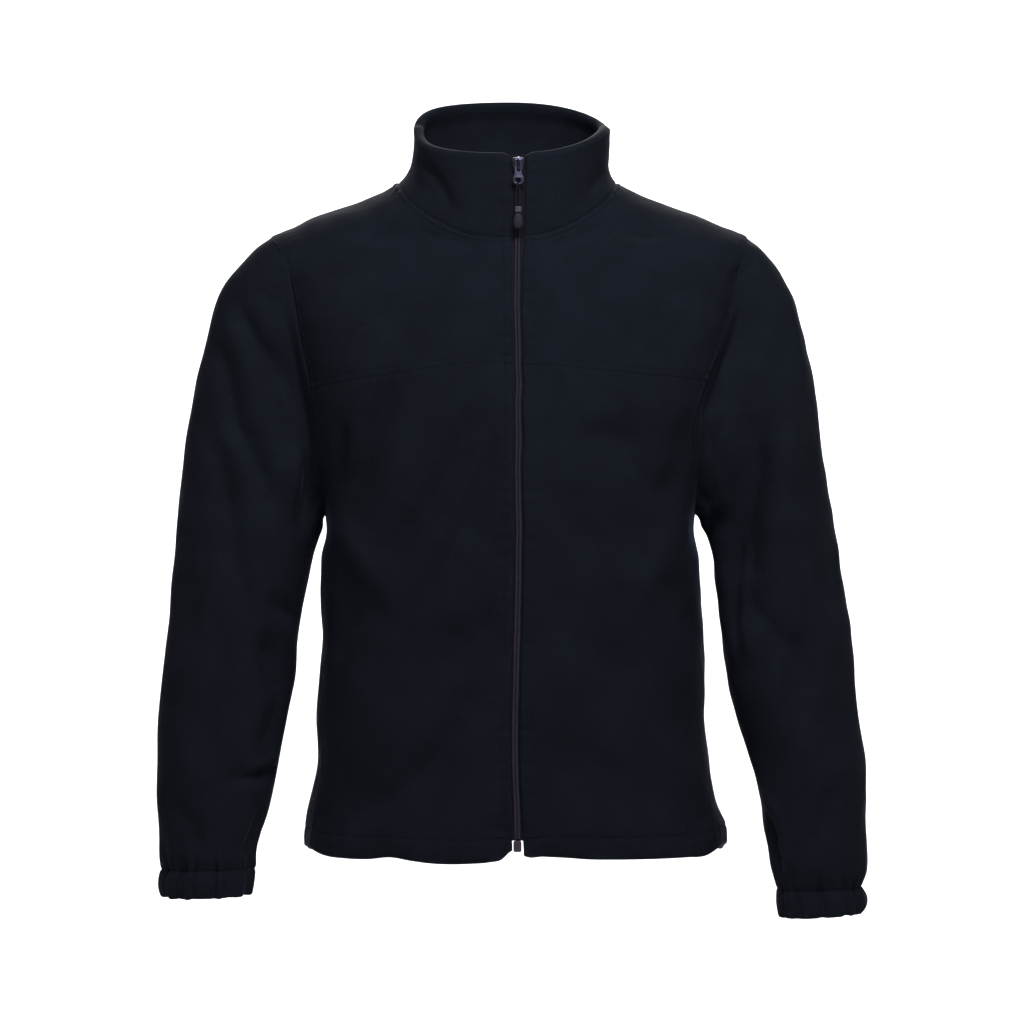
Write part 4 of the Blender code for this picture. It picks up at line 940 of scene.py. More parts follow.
def front_places(side, step):
    """The front below its yoke, above the hem's turn: zip edge first, side seam and armhole last."""
    over = graded(212, step)
    seam = yoke_seam(side, over)
    rings = side_rings(step)
    climb = graded(148, step, False, True)[1:]
    arm = spaced(split_armhole(side)[0], climb)
    last = np.concatenate([np.stack([side_seam_angle(side, rings), rings], -1), arm])
    heights = np.concatenate([rings, ARMPIT + climb * (seam[0, 1] - ARMPIT)])
    first = along_zip(side, heights)
    foot = ring_line(first[0], last[0], over)
    up = (heights - heights[0]) / (heights[-1] - heights[0])
    return patch(first, last, foot, seam, up, over)


def tip_row(edge):
    """The row at which a panel's edge passes the shoulder's tip."""
    off_side = 1 - np.abs(np.sin(edge[:, 0]))
    return int(np.argmin(np.abs(edge[:, 1] - SHOULDER_TIP) + 500 * off_side))


def yoke_places(side, step):
    """The yoke: zip edge first, armhole and shoulder's ridge last, from its seam to the neckline."""
    over = graded(200, step)
    foot = yoke_seam(side, over)
    arm = spaced(split_armhole(side)[1], graded(140, step, True, False))[:-1]
    rings = SHOULDER_TIP + graded(150, step, False, True) * (NECKLINE - SHOULDER_TIP)
    ridge = np.stack([np.full_like(rings, SIDES[side] * math.pi / 2), rings], -1)
    last = np.concatenate([arm, ridge])
    up = runs_of(smooth_body(last[:, 0], last[:, 1]))
    up /= up[-1]
    first = along_zip(side, foot[0, 1] + up * (NECKLINE - foot[0, 1]))
    head = ring_line(first[-1], last[-1], over)
    return patch(first, last, foot, head, up, over)


def back_edge(side, step):
    """The back's edge from above the hem's turn: side seam, armhole, shoulder's ridge."""
    rings = side_rings(step)
    ridge = SHOULDER_TIP + graded(150, step, False, True) * (NECKLINE - SHOULDER_TIP)
    seam = np.stack([side_seam_angle(side, rings), rings], -1)
    arm = spaced(armhole_line(side, "back"), graded(300, step, False, False))[1:-1]
    top = np.stack([np.full_like(ridge, SIDES[side] * math.pi / 2), ridge], -1)
    edge = np.concatenate([seam, arm, top])
    if side == "right":
        edge[:, 0] += math.tau
    return edge


def back_places(step):
    """The back, above the hem's turn: left edge first, right edge last."""
    first, last = back_edge("left", step), back_edge("right", step)
    over = graded(560, BACK_COARSER * step)
    foot = ring_line(first[0], last[0], over)
    head = ring_line(first[-1], last[-1], over)
    up = runs_of(smooth_body(first[:, 0], first[:, 1]))
    return patch(first, last, foot, head, up / up[-1], over)


def run_along(grid, axis, from_end=False):
    """How far each point lies from the grid's first (or last) row or column, along the grid."""
    steps = np.linalg.norm(np.diff(grid, axis=axis), axis=-1)
    shape = list(grid.shape[:2])
    shape[axis] = 1
    run = np.concatenate([np.zeros(shape), np.cumsum(steps, axis=axis)], axis)
    return run.max(axis=axis, keepdims=True) - run if from_end else run


def beside_seam(away, run, seed, stitch=0.0, lift=0.0, groove=0.7, pucker=0.26):
    """Height beside a seam: its groove, the raised allowance, the stitches' channel and puckers."""
    height = -groove * bell(away, 2.0)
    if stitch:
        raised = np.exp(-(((away - stitch * 0.5) / (stitch * 0.45)) ** 4))
        height += lift * raised - 0.45 * bell(away - stitch, 1.2)
        height += pucker * waves(run, seed, 7, 17) * bell(away - stitch * 0.6, stitch * 1.3)
    return height


def pulled_back(grid, edges, distance):
    """The grid with edges drawn back along the cloth, away from their seams."""
    grid = grid.copy()
    for name in edges.split():
        edge, beside = {
            "foot": (grid[0], grid[1]),
            "head": (grid[-1], grid[-2]),
            "first": (grid[:, 0], grid[:, 1]),
            "last": (grid[:, -1], grid[:, -2]),
        }[name]
        edge += unit(beside - edge) * min(distance, 0.6)
    return grid


# --- meshes from grids ----------------------------------------------------------------------


def grid_normals(grid, closed=False):
    """Unit normals of a grid: the cross product of its differences across and along."""
    along = np.gradient(grid, axis=0)
    across = np.roll(grid, -1, 1) - np.roll(grid, 1, 1) if closed else np.gradient(grid, axis=1)
    return unit(np.cross(across, along))


def quads_between(index):
    """Quads of a grid of indices, between each row and column and the next."""
    corners = (index[:-1, :-1], index[:-1, 1:], index[1:, 1:], index[1:, :-1])
    return np.stack(corners, -1).reshape(-1, 4)


def shell(middle, normals, half):
    """A closed wall round a grid: both faces, half-round rims at the columns' ends, and round tips.

    Each row becomes a loop, out along one face and back along the other. Past the first and the
    last row the loop shrinks round a quarter turn to a line.
    """
    columns = middle.shape[1]
    turn = np.linspace(0, math.pi, RIM_STEPS + 2)[1:-1][:, None]
    out_first = unit(middle[:, 0] - middle[:, 1])[:, None]
    out_last = unit(middle[:, -1] - middle[:, -2])[:, None]
    last_rim = normals[:, -1:] * np.cos(turn) + out_last * np.sin(turn)
    first_rim = -normals[:, :1] * np.cos(turn) + out_first * np.sin(turn)
    offsets = np.concatenate([normals, last_rim, -normals[:, ::-1], first_rim], 1) * half
    rim = np.ones(RIM_STEPS, int)
    centre = np.concatenate(
        [np.arange(columns), rim * (columns - 1), np.arange(columns)[::-1], rim * 0]
    )
    loops = middle[:, centre] + offsets
    tips, ends = [], []
    for row, beside in ((0, 1), (-1, -2)):
        out = unit(middle[row] - middle[beside])[centre]
        quarter = np.linspace(0, math.pi / 2, 4)[1:-1][:, None, None]
        ends.append(middle[row, centre] + offsets[row] * np.cos(quarter) + out * half * np.sin(quarter))
        tips.append(middle[row] + unit(middle[row] - middle[beside]) * half)
    loops = np.concatenate([ends[0][::-1], loops, ends[1]])
    rows, width = loops.shape[:2]
    index = np.arange(rows * width).reshape(rows, width)
    index = np.concatenate([rows * width + centre[None], index, rows * width + columns + centre[None]])
    index = np.concatenate([index, index[:, :1]], 1)
    faces = quads_between(index)
    points = np.concatenate([loops.reshape(-1, 3), *tips])
    return points, faces


def tube_shell(middle, normals, half):
    """A closed wall round a grid that is closed across: outer face, rim, inner face, rim."""
    turn = np.linspace(0, math.pi, RIM_STEPS + 2)[1:-1][:, None, None]
    out_first = unit(middle[0] - middle[1])
    out_last = unit(middle[-1] - middle[-2])
    last_rim = middle[-1] + (normals[-1] * np.cos(turn) + out_last * np.sin(turn)) * half
    first_rim = middle[0] + (-normals[0] * np.cos(turn) + out_first * np.sin(turn)) * half
    outer, inner = middle + normals * half, middle - normals * half
    loops = np.concatenate([outer, last_rim, inner[::-1], first_rim])
    rows, width = loops.shape[:2]
    index = np.arange(rows * width).reshape(rows, width)
    index = np.concatenate([index, index[:1]])
    index = np.concatenate([index, index[:, :1]], 1)
    return loops.reshape(-1, 3), quads_between(index)


def swept(lines, across, up, half_width, half_height, sides):
    """Tubes, each along a line of points: an ellipse at every point, spanned by across and up."""
    turn = (np.arange(sides) + 0.5) * math.tau / sides
    cosine, sine = np.cos(turn)[:, None], np.sin(turn)[:, None]
    half_width = np.broadcast_to(half_width, lines.shape[:-1])[..., None, None]
    half_height = np.broadcast_to(half_height, lines.shape[:-1])[..., None, None]
    rings = across[..., None, :] * cosine * half_width + up[..., None, :] * sine * half_height
    points = lines[..., None, :] + rings
    count, stations = lines.shape[:2]
    index = np.arange(count * stations * sides).reshape(count, stations, sides)
    closed = np.concatenate([index, index[..., :1]], -1)
    corners = (closed[:, :-1, :-1], closed[:, :-1, 1:], closed[:, 1:, 1:], closed[:, 1:, :-1])
    faces = np.stack(corners, -1).reshape(-1, 4).tolist()
    caps = np.concatenate([index[:, 0, ::-1], index[:, -1]]).tolist()
    return points.reshape(-1, 3), faces + caps


def without_repeats(faces):
    """Faces as lists, a quad with a repeated corner made a triangle, and a bare line left out."""
    faces = np.asarray(faces)
    repeated = faces == np.roll(faces, -1, 1)
    whole = faces[~repeated.any(1)].tolist()
    once = faces[repeated.sum(1) == 1]
    kept = ~repeated[repeated.sum(1) == 1]
    return whole + once[kept].reshape(-1, 3).tolist()


def mesh_piece(name, points, faces, material, rides_on=BODY_PART, slot=None):
    """An object at the origin from points in millimetres and faces, pointing outwards."""
    faces = without_repeats(faces) if isinstance(faces, np.ndarray) else faces
    mesh = bpy.data.meshes.new(name)
    mesh.from_pydata((points * MM).tolist(), [], faces)
    shape = bmesh.new()
    shape.from_mesh(mesh)
    if shape.calc_volume(signed=True) < 0:
        bmesh.ops.reverse_faces(shape, faces=shape.faces)
    shape.to_mesh(mesh)
    shape.free()
    mesh.shade_smooth()
    mesh.materials.append(material)
    piece = bpy.data.objects.new(name, mesh)
    bpy.context.scene.collection.objects.link(piece)
    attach(piece, rides_on)
    return piece


def edge_first(grid, edge):
    """The grid turned so that the named edge is its first column."""
    if edge in ("foot", "head"):
        grid = grid.swapaxes(0, 1)
    return grid[:, ::-1] if edge in ("head", "last") else grid


def line_beside(outer, normals, edge, distance):
    """The line on a panel's outer face that runs a distance in from one of its edges."""
    points, up = edge_first(outer, edge), edge_first(normals, edge)
    run = run_along(points, 1)
    after = np.clip((run < distance).sum(1), 1, run.shape[1] - 1)
    row = np.arange(len(run))
    low, high = run[row, after - 1], run[row, after]
    share = ((distance - low) / (high - low))[:, None]
    line = points[row, after - 1] * (1 - share) + points[row, after] * share
    return line, unit(up[row, after - 1] * (1 - share) + up[row, after] * share)


def stitch_row(line, normals, pitch, radius):
    """One seam's stitches: short threads, high in the middle, whose ends dip into the cloth."""
    run = runs_of(line)
    centres = np.arange(pitch, run[-1] - pitch / 2, pitch)
    ends = np.array([-1, -0.6, 0.6, 1]) * pitch * 0.42
    at = centres[:, None] + ends
    lines = np.stack([np.interp(at, run, line[:, i]) for i in range(3)], -1)
    up = unit(np.stack([np.interp(at, run, normals[:, i]) for i in range(3)], -1))
    along = unit(np.gradient(lines, axis=1))
    across = unit(np.cross(along, up))
    lines = lines + up * np.array([-0.35, 0.1, 0.1, -0.35])[:, None]
    return swept(lines, across, up, radius * np.array([0.5, 1, 1, 0.5]), radius, 4)


def joined_parts(parts):
    """Several (points, faces) as one."""
    points, faces, start = [], [], 0
    for some_points, some_faces in parts:
        points.append(some_points)
        faces += [[corner + start for corner in face] for face in some_faces]
        start += len(some_points)
    return np.concatenate(points), faces


# --- materials ------------------------------------------------------------------------------


def linear(hex_colour):
    """A colour for a socket, from its sRGB hex value."""
    values = [int(hex_colour[i : i + 2], 16) / 255 for i in (1, 3, 5)]
    return [v / 12.92 if v <= 0.04045 else ((v + 0.055) / 1.055) ** 2.4 for v in values]


def add(tree, kind, settings=None, links=None):
    """A node with its settings (sockets by name or number, else attributes) and its links."""
    node = tree.nodes.new(kind)
    for name, value in (settings or {}).items():
        if isinstance(name, int) or name in node.inputs:
            node.inputs[name].default_value = value
        else:
            setattr(node, name, value)
    for name, socket in (links or {}).items():
        tree.links.new(socket, node.inputs[name])
    return node


def new_material(name, settings):
    """A material with these numbers and colours on its shader, its tree, its shader and its place."""
    made = bpy.data.materials.new(name)
    made.use_nodes = True
    tree = made.node_tree
    shader = tree.nodes["Principled BSDF"]
    for socket, value in settings.items():
        shader.inputs[socket].default_value = value
    return made, tree, shader, add(tree, "ShaderNodeTexCoord").outputs["Object"]


def noise(tree, place, scale, detail, **more):
    """A noise over the object's own coordinates, in features to the metre."""
    settings = {"Scale": scale, "Detail": detail, **more}
    return add(tree, "ShaderNodeTexNoise", settings, {"Vector": place}).outputs["Fac"]


def weighted(tree, value, weight, added=None):
    """A value times its weight, plus another value if there is one."""
    if added is None:
        return add(tree, "ShaderNodeMath", {"operation": "MULTIPLY", 1: weight}, {0: value}).outputs[0]
    node = add(tree, "ShaderNodeMath", {"operation": "MULTIPLY_ADD", 1: weight}, {0: value, 2: added})
    return node.outputs[0]


def colour_by(tree, shader, factor, colour, shares, positions=(0.0, 1.0)):
    """The base colour runs from one share of the colour to another as the factor rises."""
    ramp = add(tree, "ShaderNodeValToRGB", {}, {"Fac": factor})
    for stop, share, position in zip(ramp.color_ramp.elements, shares, positions):
        stop.position = position
        stop.color = (*[min(1, part * share) for part in colour], 1)
    tree.links.new(ramp.outputs["Color"], shader.inputs["Base Color"])


def roughen(tree, shader, height, strength, distance):
    """A bump on the shader's normal, its distance in metres."""
    bump = add(tree, "ShaderNodeBump", {"Strength": strength, "Distance": distance}, {"Height": height})
    tree.links.new(bump.outputs["Normal"], shader.inputs["Normal"])


def fleece_material(name, colour, returned, nap):
    """Anti-pill polyester fleece, knitted and brushed: matt, soft edges that catch light, a fine
    grain of curled fibre and cloudy patches where the nap lies another way."""
    settings = {
        "Roughness": 0.95,
        "Specular IOR Level": 0.006,
        "Sheen Weight": 0.008,
        "Sheen Roughness": 0.25,
        "Sheen Tint": (*linear("#A6AFDC"), 1),
    }
    made, tree, shader, place = new_material(name, settings)
    cloud = noise(tree, place, 26.0, 3.0, Roughness=0.55, Distortion=0.4)
    grain = noise(tree, place, 430.0, 4.0, Roughness=0.65)
    tufts = noise(tree, place, 150.0, 3.0, Roughness=0.6)
    mixed = weighted(tree, cloud, 0.55, weighted(tree, grain, 0.45))
    colour_by(tree, shader, mixed, colour, (0.84 * returned, 1.2 * returned), (0.36, 0.64))
    roughen(tree, shader, weighted(tree, grain, 0.5, tufts), 0.55, nap)
    return made


def ribs(tree, place, direction, pitch, **more):
    """Sine bands across a direction, a pitch in millimetres apart."""
    settings = {"wave_type": "BANDS", "bands_direction": direction, **more}
    settings["Scale"] = math.tau / 20 / (pitch * MM)
    return add(tree, "ShaderNodeTexWave", settings, {"Vector": place}).outputs["Fac"]


def woven_material(name, colour, pitch, roughness):
    """Close-woven polyester: fine ribs across the tape, each a thread wide."""
    settings = {
        "Roughness": roughness,
        "Specular IOR Level": 0.01,
        "Sheen Weight": 0.002,
        "Sheen Roughness": 0.4,
    }
    made, tree, shader, place = new_material(name, settings)
    across = ribs(tree, place, "Z", pitch, Distortion=0.6)
    threads = ribs(tree, place, "X", pitch * 0.8)
    weave = add(tree, "ShaderNodeMath", {"operation": "MULTIPLY"}, {0: across, 1: threads}).outputs[0]
    colour_by(tree, shader, weave, colour, (0.6, 1.3))
    roughen(tree, shader, weave, 0.5, 0.0002)
    return made


def moulded_material(name, colour, settings, grain, depth):
    """Plastic or metal as it comes from the mould or the die: an even colour that a slow noise
    rubs lighter and darker, and a faint grain in its surface."""
    made, tree, shader, place = new_material(name, settings)
    colour_by(tree, shader, noise(tree, place, 350.0, 4.0), colour, (0.82, 1.2), (0.3, 0.75))
    roughen(tree, shader, noise(tree, place, 1 / (grain * MM), 2.0), 0.3, depth)
    return made


# The finishes that no setting changes: how each is made, its sRGB colour and its numbers. Knit of
# the pockets, the pull's braid, die-cast zinc under dark lacquer, the pull's rubbery moulded end, and
# the hard acetal of the pull's ferrule and of the retainer box.
FINISHES = {
    "navy pocket knit": (woven_material, "#050609", 1.2, 0.85),
    "braided polyester cord": (woven_material, "#040306", 0.7, 0.75),
    "dark lacquered zinc": (
        moulded_material,
        "#101017",
        {"Metallic": 1.0, "Roughness": 0.24},
        0.5,
        0.00003,
    ),
    "soft violet grey elastomer": (
        moulded_material,
        "#070609",
        {"Roughness": 0.55, "IOR": 1.5, "Specular IOR Level": 0.005},
        0.3,
        0.00004,
    ),
    "clear grey acetal": (
        moulded_material,
        "#100E13",
        {"Roughness": 0.5, "IOR": 1.48, "Specular IOR Level": 0.01},
        0.5,
        0.00002,
    ),
}


def material(name):
    """The named finish, made when it is first asked for."""
    if name in bpy.data.materials:
        return bpy.data.materials[name]
    if name in FINISHES:
        maker, colour, *numbers = FINISHES[name]
        return maker(name, linear(colour), *numbers)
    looks = bpy.context.scene.jacket_looks
    if name == "brushed navy fleece":
        return fleece_material(name, looks.fleece_colour, looks.pile_return, looks.nap_depth)
    if name == "woven zip tape":
        return woven_material(name, looks.tape_colour, 0.9, 0.8)
    if name == "nylon coil":
        settings = {"Roughness": 0.5, "Specular IOR Level": 0.012}
        return moulded_material(name, looks.coil_colour, settings, 0.4, 0.00002)
    if name == "polyester thread":
        settings = {"Roughness": 0.7, "Specular IOR Level": 0.01}
        return moulded_material(name, looks.thread_colour, settings, 0.3, 0.00004)
    raise ValueError(f"no finish named {name}")


# --- panels ---------------------------------------------------------------------------------


FLEECE = "brushed navy fleece"


def cloth(name, middle, sign, stitched, thickness=None, finish=FLEECE, slot="fleece", closed=False):
    """A cloth piece from its middle grid, and its topstitches: (edge, distance, rows) each.

    The wall is half a thickness to each side of the middle. An edge called row is a row's number.
    """
    looks = bpy.context.scene.jacket_looks
    half = (thickness or looks.fleece_thickness / MM) / 2
    normals = sign * grid_normals(middle, closed)
    build = tube_shell if closed else shell
    points, faces = build(middle, normals, half)
    piece = mesh_piece(name, points, faces, material(finish), slot=slot)
    pitch, radius = looks.stitch_length / MM, looks.thread_thickness / MM / 2
    rows = []
    for edge, distance, rows_used in stitched:
        part = slice(*rows_used)
        if edge == "row":
            line, up = middle[distance], normals[distance]
            line, up = line[part], up[part]
        else:
            line, up = line_beside(middle[part], normals[part], edge, distance)
        rows.append(stitch_row(line + up * half, up, pitch, radius))
    thread = None
    if rows:
        sewn = joined_parts(rows)
        thread = mesh_piece(f"{name}_stitches", *sewn, material("polyester thread"), slot=slot)
    return piece, thread


def make_front(side, step):
    """The front below its yoke: the body's rings with folds, seams, hem and the pocket's slit."""
    places, inset = with_hem(front_places(side, step), step)
    hem_rows = int((inset[:, 0] > 0).sum())
    plain = smooth_body(places[..., 0], places[..., 1])
    upward = run_along(plain, 0)
    outer = np.where(inset > 0, 0.0, 1.0)
    from_zip, from_side = run_along(plain, 1), run_along(plain, 1, True)
    height = places[..., 1]
    detail = beside_seam(from_zip, upward, 41, EDGE_STITCH, 0.8, 0.0)
    detail += 0.5 * bell(from_zip, 3)
    arm = fade(height[:, -1:], ARMPIT - 4, ARMPIT + 8)
    detail += beside_seam(from_side, upward, 42, ARMHOLE_STITCH, 0.55, 0.5) * arm
    detail += beside_seam(from_side, upward, 43) * (1 - arm)
    detail += beside_seam(run_along(plain, 0, True), from_zip, 44, groove=0.35)
    slit = fade(height[:, -1:], POCKET_FOOT - 8, POCKET_FOOT + 8)
    slit *= 1 - fade(height[:, -1:], POCKET_TOP - 8, POCKET_TOP + 8)
    detail += slit * (0.5 * bell(from_side - 6, 5) - 0.5 * bell(from_side - POCKET_STITCH, 1.3))
    detail += hem_detail(height, from_zip, 45)
    places[:, -1, 0] -= SIDES[side] * POCKET_SLIT * slit[:, 0] / SIDE_RADIUS
    middle = body(places[..., 0], places[..., 1], inset, detail * outer)
    middle[..., 2] += hem_rise(middle)
    middle = pulled_back(middle, "head last", CLOSE)
    stitched = [
        ("first", EDGE_STITCH, (hem_rows, None)),
        ("last", ARMHOLE_STITCH, (int((height[:, -1] < ARMPIT + 6).sum()), None)),
        ("row", hem_stitch_row(height[:, 0], hem_rows), (8, None)),
        ("last", POCKET_STITCH, rows_between(height[:, -1], POCKET_FOOT - 6, POCKET_TOP + 6)),
    ]
    piece, thread = cloth(f"{side}_fleece_front", middle, SIDES[side], stitched)
    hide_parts(f"{side}_front")
    return piece, thread


def rows_between(heights, low, high):
    """The first and the last row whose heights lie between two."""
    return int((heights < low).sum()), int((heights < high).sum())


def hem_stitch_row(heights, hem_rows):
    """The row of the hem's topstitch, by its height above the hem."""
    return int(np.argmin(np.abs(heights[hem_rows:] - HEM - HEM_STITCH))) + hem_rows


def hem_detail(height, along, seed):
    """The hem: a stitched channel, a soft roll below it and slow waves that die out above it."""
    up = height - HEM
    roll = 0.6 * bell(up - 9, 8) - 0.6 * bell(up - HEM_STITCH, 1.6)
    wave = 0.9 * waves(along, seed, 40, 95)
    wave += 0.35 * waves(along, seed + 1, 12, 24) * bell(up - HEM_STITCH, 12)
    return roll + wave * (1 - fade(up, 10, 60))


def make_yoke(side, step):
    """The front yoke: the body's rings from the yoke's seam up to the neckline."""
    places = yoke_places(side, step)
    plain = smooth_body(places[..., 0], places[..., 1])
    upward, from_zip = run_along(plain, 0), run_along(plain, 1)
    from_side = run_along(plain, 1, True)
    top = tip_row(places[:, -1])
    ridge = (np.arange(len(places)) > top)[:, None]
    detail = beside_seam(from_zip, upward, 51, EDGE_STITCH, 0.8, 0.0) + 0.5 * bell(from_zip, 3)
    detail += beside_seam(from_side, upward, 52, ARMHOLE_STITCH, 0.55, 0.5) * (1 - ridge)
    detail += beside_seam(from_side, upward, 53, groove=0.4) * ridge
    detail += beside_seam(upward, from_zip, 54, YOKE_STITCH, 0.12, 0.25, 0.1)
    detail += beside_seam(run_along(plain, 0, True), from_zip, 55, NECK_STITCH, 0.5, 0.6)
    middle = body(places[..., 0], places[..., 1], 0.0, detail)
    middle = pulled_back(middle, "foot head last", CLOSE)
    stitched = [
        ("first", EDGE_STITCH, (None, None)),
        ("last", ARMHOLE_STITCH, (0, top)),
        ("foot", YOKE_STITCH, (None, None)),
        ("foot", 1.6, (None, None)),
        ("head", NECK_STITCH, (None, None)),
    ]
    piece, thread = cloth(f"{side}_fleece_yoke", middle, SIDES[side], stitched)
    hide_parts(f"{side}_front_yoke")
    return piece, thread


def make_back(step):
    """The back: one panel of the body's rings, from side seam to side seam."""
    places, inset = with_hem(back_places(step), step)
    hem_rows = int((inset[:, 0] > 0).sum())
    plain = smooth_body(places[..., 0], places[..., 1])
    upward, from_left = run_along(plain, 0), run_along(plain, 1)
    from_right = run_along(plain, 1, True)
    height = places[:, :1, 1]
    low, top = int((places[:, 0, 1] < ARMPIT + 0.5).sum()), tip_row(places[:, 0])
    row = np.arange(len(places))[:, None]
    arm = fade(row, low, low + 6) * (row <= top)
    detail = hem_detail(places[..., 1], from_left, 61)
    for seed, away in ((62, from_left), (63, from_right)):
        detail += beside_seam(away, upward, seed, ARMHOLE_STITCH, 0.9) * arm
        detail += beside_seam(away, upward, seed + 5) * (1 - arm)
    detail += beside_seam(run_along(plain, 0, True), from_left, 64, NECK_STITCH, 0.5, 0.6)
    middle = body(places[..., 0], places[..., 1], inset, detail * np.where(inset > 0, 0.0, 1.0))
    middle[..., 2] += hem_rise(middle)
    middle = pulled_back(middle, "first last head", CLOSE)
    arm_rows = (low + 3, top)
    stitched = [
        ("first", ARMHOLE_STITCH, arm_rows),
        ("last", ARMHOLE_STITCH, arm_rows),
        ("head", NECK_STITCH, (None, None)),
        ("row", hem_stitch_row(height[:, 0], hem_rows), (None, None)),
    ]
    piece, thread = cloth("fleece_back", middle, 1, stitched)
    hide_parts("back")
    return piece, thread


def make_sleeve(side, step):
    """The sleeve, closed round the arm, down to its cuff and up again inside it."""
    length = sleeve_lengths(side)[-1]
    away, inset = turned_edge(CUFF_DEPTH, step)
    plain = graded(length - CUFF_DEPTH, step) * (length - CUFF_DEPTH)
    down = np.concatenate([plain[:-1], length - away])[:, None]
    inset = np.concatenate([0 * plain[:-1], inset])[:, None]
    around = np.linspace(0, math.tau, SLEEVE_COLUMNS_ROUND + 1)[None, :-1]
    middle = sleeve(side, around, down, inset)
    middle[0] += unit(middle[1] - middle[0]) * CLOSE
    casing = int(np.argmin(np.abs(down[:, 0] - (length - CUFF_STITCH)) + inset[:, 0]))
    stitched = [("row", casing, (None, None))]
    piece, thread = cloth(f"{side}_fleece_sleeve", middle, SIDES[side], stitched, closed=True)
    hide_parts(f"{side}_sleeve")
    return piece, thread


def make_collar(step):
    """The collar: up its outer layer, round the rim and down inside."""
    turn = np.linspace(0, math.pi, 13)
    outer = COLLAR_HEIGHT - graded(COLLAR_HEIGHT - RIM_TURN, step) * (COLLAR_HEIGHT - RIM_TURN)
    inner = np.linspace(RIM_TURN, COLLAR_HEIGHT - COLLAR_FOOT, 30)[1:]
    narrowed = 2 * RIM_TURN - 2 * (RIM_TURN - TURN) * fade(inner, RIM_TURN, 22)
    away = np.concatenate([outer[:-1], RIM_TURN * (1 - np.sin(turn)), inner])
    inset = np.concatenate([0 * outer[:-1], RIM_TURN * (1 - np.cos(turn)), narrowed])
    up = 1 - away / COLLAR_HEIGHT
    heights = NECKLINE + up * (RIM - NECKLINE)
    start = angle_at_x(COLLAR, "up", up, zip_edge_x("left", heights))[:, None]
    end = angle_at_x(COLLAR, "up", up, zip_edge_x("right", heights))[:, None]
    shares = graded(520, step)[None, :]
    angle = start + (math.tau + end - start) * shares
    plain = smooth_collar(angle, up[:, None])
    from_left, from_right = run_along(plain, 1), run_along(plain, 1, True)
    near_end = np.minimum(from_left, from_right)
    upward = (up * COLLAR_HEIGHT)[:, None] + 0 * near_end
    detail = beside_seam(near_end, upward, 71, EDGE_STITCH, 0.6, 0.0) + 0.4 * bell(near_end, 3)
    detail += -0.8 * bell(upward, 2.2) + 0.7 * bell(COLLAR_HEIGHT - upward - 6, 6)
    detail += 0.6 * ripples(plain, 72, 70) * fade(near_end, 5, 40)
    outer = np.where(inset > 0, 0.0, 1.0)[:, None]
    middle = collar(angle, up[:, None], inset[:, None], detail * outer)
    corner = np.clip(NOTCH_CORNER - near_end, 0, NOTCH_CORNER)
    drop = NOTCH_CORNER - np.sqrt(NOTCH_CORNER**2 - corner**2)
    middle[..., 2] -= drop * fade(upward, COLLAR_HEIGHT * 0.5, COLLAR_HEIGHT)
    middle = pulled_back(middle, "foot", CLOSE)
    layer = int((inset == 0).sum())
    first_inner = len(away) - len(inner)
    rim_row = first_inner + int(np.argmin(np.abs(inner - RIM_STITCH)))
    stitched = [
        ("first", EDGE_STITCH, (0, layer)),
        ("last", EDGE_STITCH, (0, layer)),
        ("row", rim_row, (4, -4)),
    ]
    piece, thread = cloth("fleece_collar", middle, 1, stitched)
    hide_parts("collar")
    return piece, thread


def make_bag(side, step):
    """The pocket bag, from the front's own points moved in, and on past the side seam."""
    places = front_places(side, step)
    bottom = HEM + HEM_DEPTH
    low = np.flatnonzero(places[:, -1, 1] < bottom + BAG_SHARE * (ARMPIT - bottom))
    run = run_along(smooth_body(places[..., 0], places[..., 1]), 1, True)
    wide = np.flatnonzero(run[0] < BAG_WIDTH)
    places = places[low][:, wide]
    beyond = places[:, -1:] + (SIDES[side] * BAG_PAST_SEAM / SIDE_RADIUS, 0)
    places = np.concatenate([places, beyond], 1)
    inset = np.full(places.shape[:2], BAG_INSET + 0.5)
    inset[:, -1] += 1.2
    middle = body(places[..., 0], places[..., 1], inset)
    piece, _ = cloth(
        f"{side}_pocket_lining", middle, SIDES[side], [], BAG_CLOTH, "navy pocket knit", "pocketing"
    )
    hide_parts(f"{side}_pocket_bag")
    return piece


# --- the zip --------------------------------------------------------------------------------


def front_edge(side, height):
    """The edge of the fleece beside the zip, up the front and then up the collar."""
    low = body(zip_edge_angle(side, height), np.clip(height, HEM, NECKLINE))
    up = (height - NECKLINE) / (RIM - NECKLINE)
    angle = angle_at_x(COLLAR, "up", np.clip(up, 0, 1), zip_edge_x(side, height))
    high = collar(angle, np.clip(up, 0, 1))
    return np.where((height < NECKLINE)[..., None], low, high)


def zip_point(height, across, inset):
    """A point beside the zip's middle, inset behind the middle of the fleece."""
    height = np.asarray(height, float)

    def middle(at):
        return (front_edge("right", at) + front_edge("left", at)) / 2

    def eased(at):
        return (middle(at - 6) + 2 * middle(at) + middle(at + 6)) / 4

    near = np.clip(height, HEM + 14, 12.0)
    along = unit(eased(near + 8) - eased(near - 8))
    sideways = unit(front_edge("left", height) - front_edge("right", height))
    inwards = unit(np.cross(along, sideways))
    start = np.where((np.abs(height - NECKLINE) < 20)[..., None], eased(height), middle(height))
    shape = np.broadcast_shapes(height.shape, np.shape(across), np.shape(inset))
    across = np.broadcast_to(across, shape)[..., None]
    inset = np.broadcast_to(inset, shape)[..., None]
    return start + sideways * across + inwards * inset


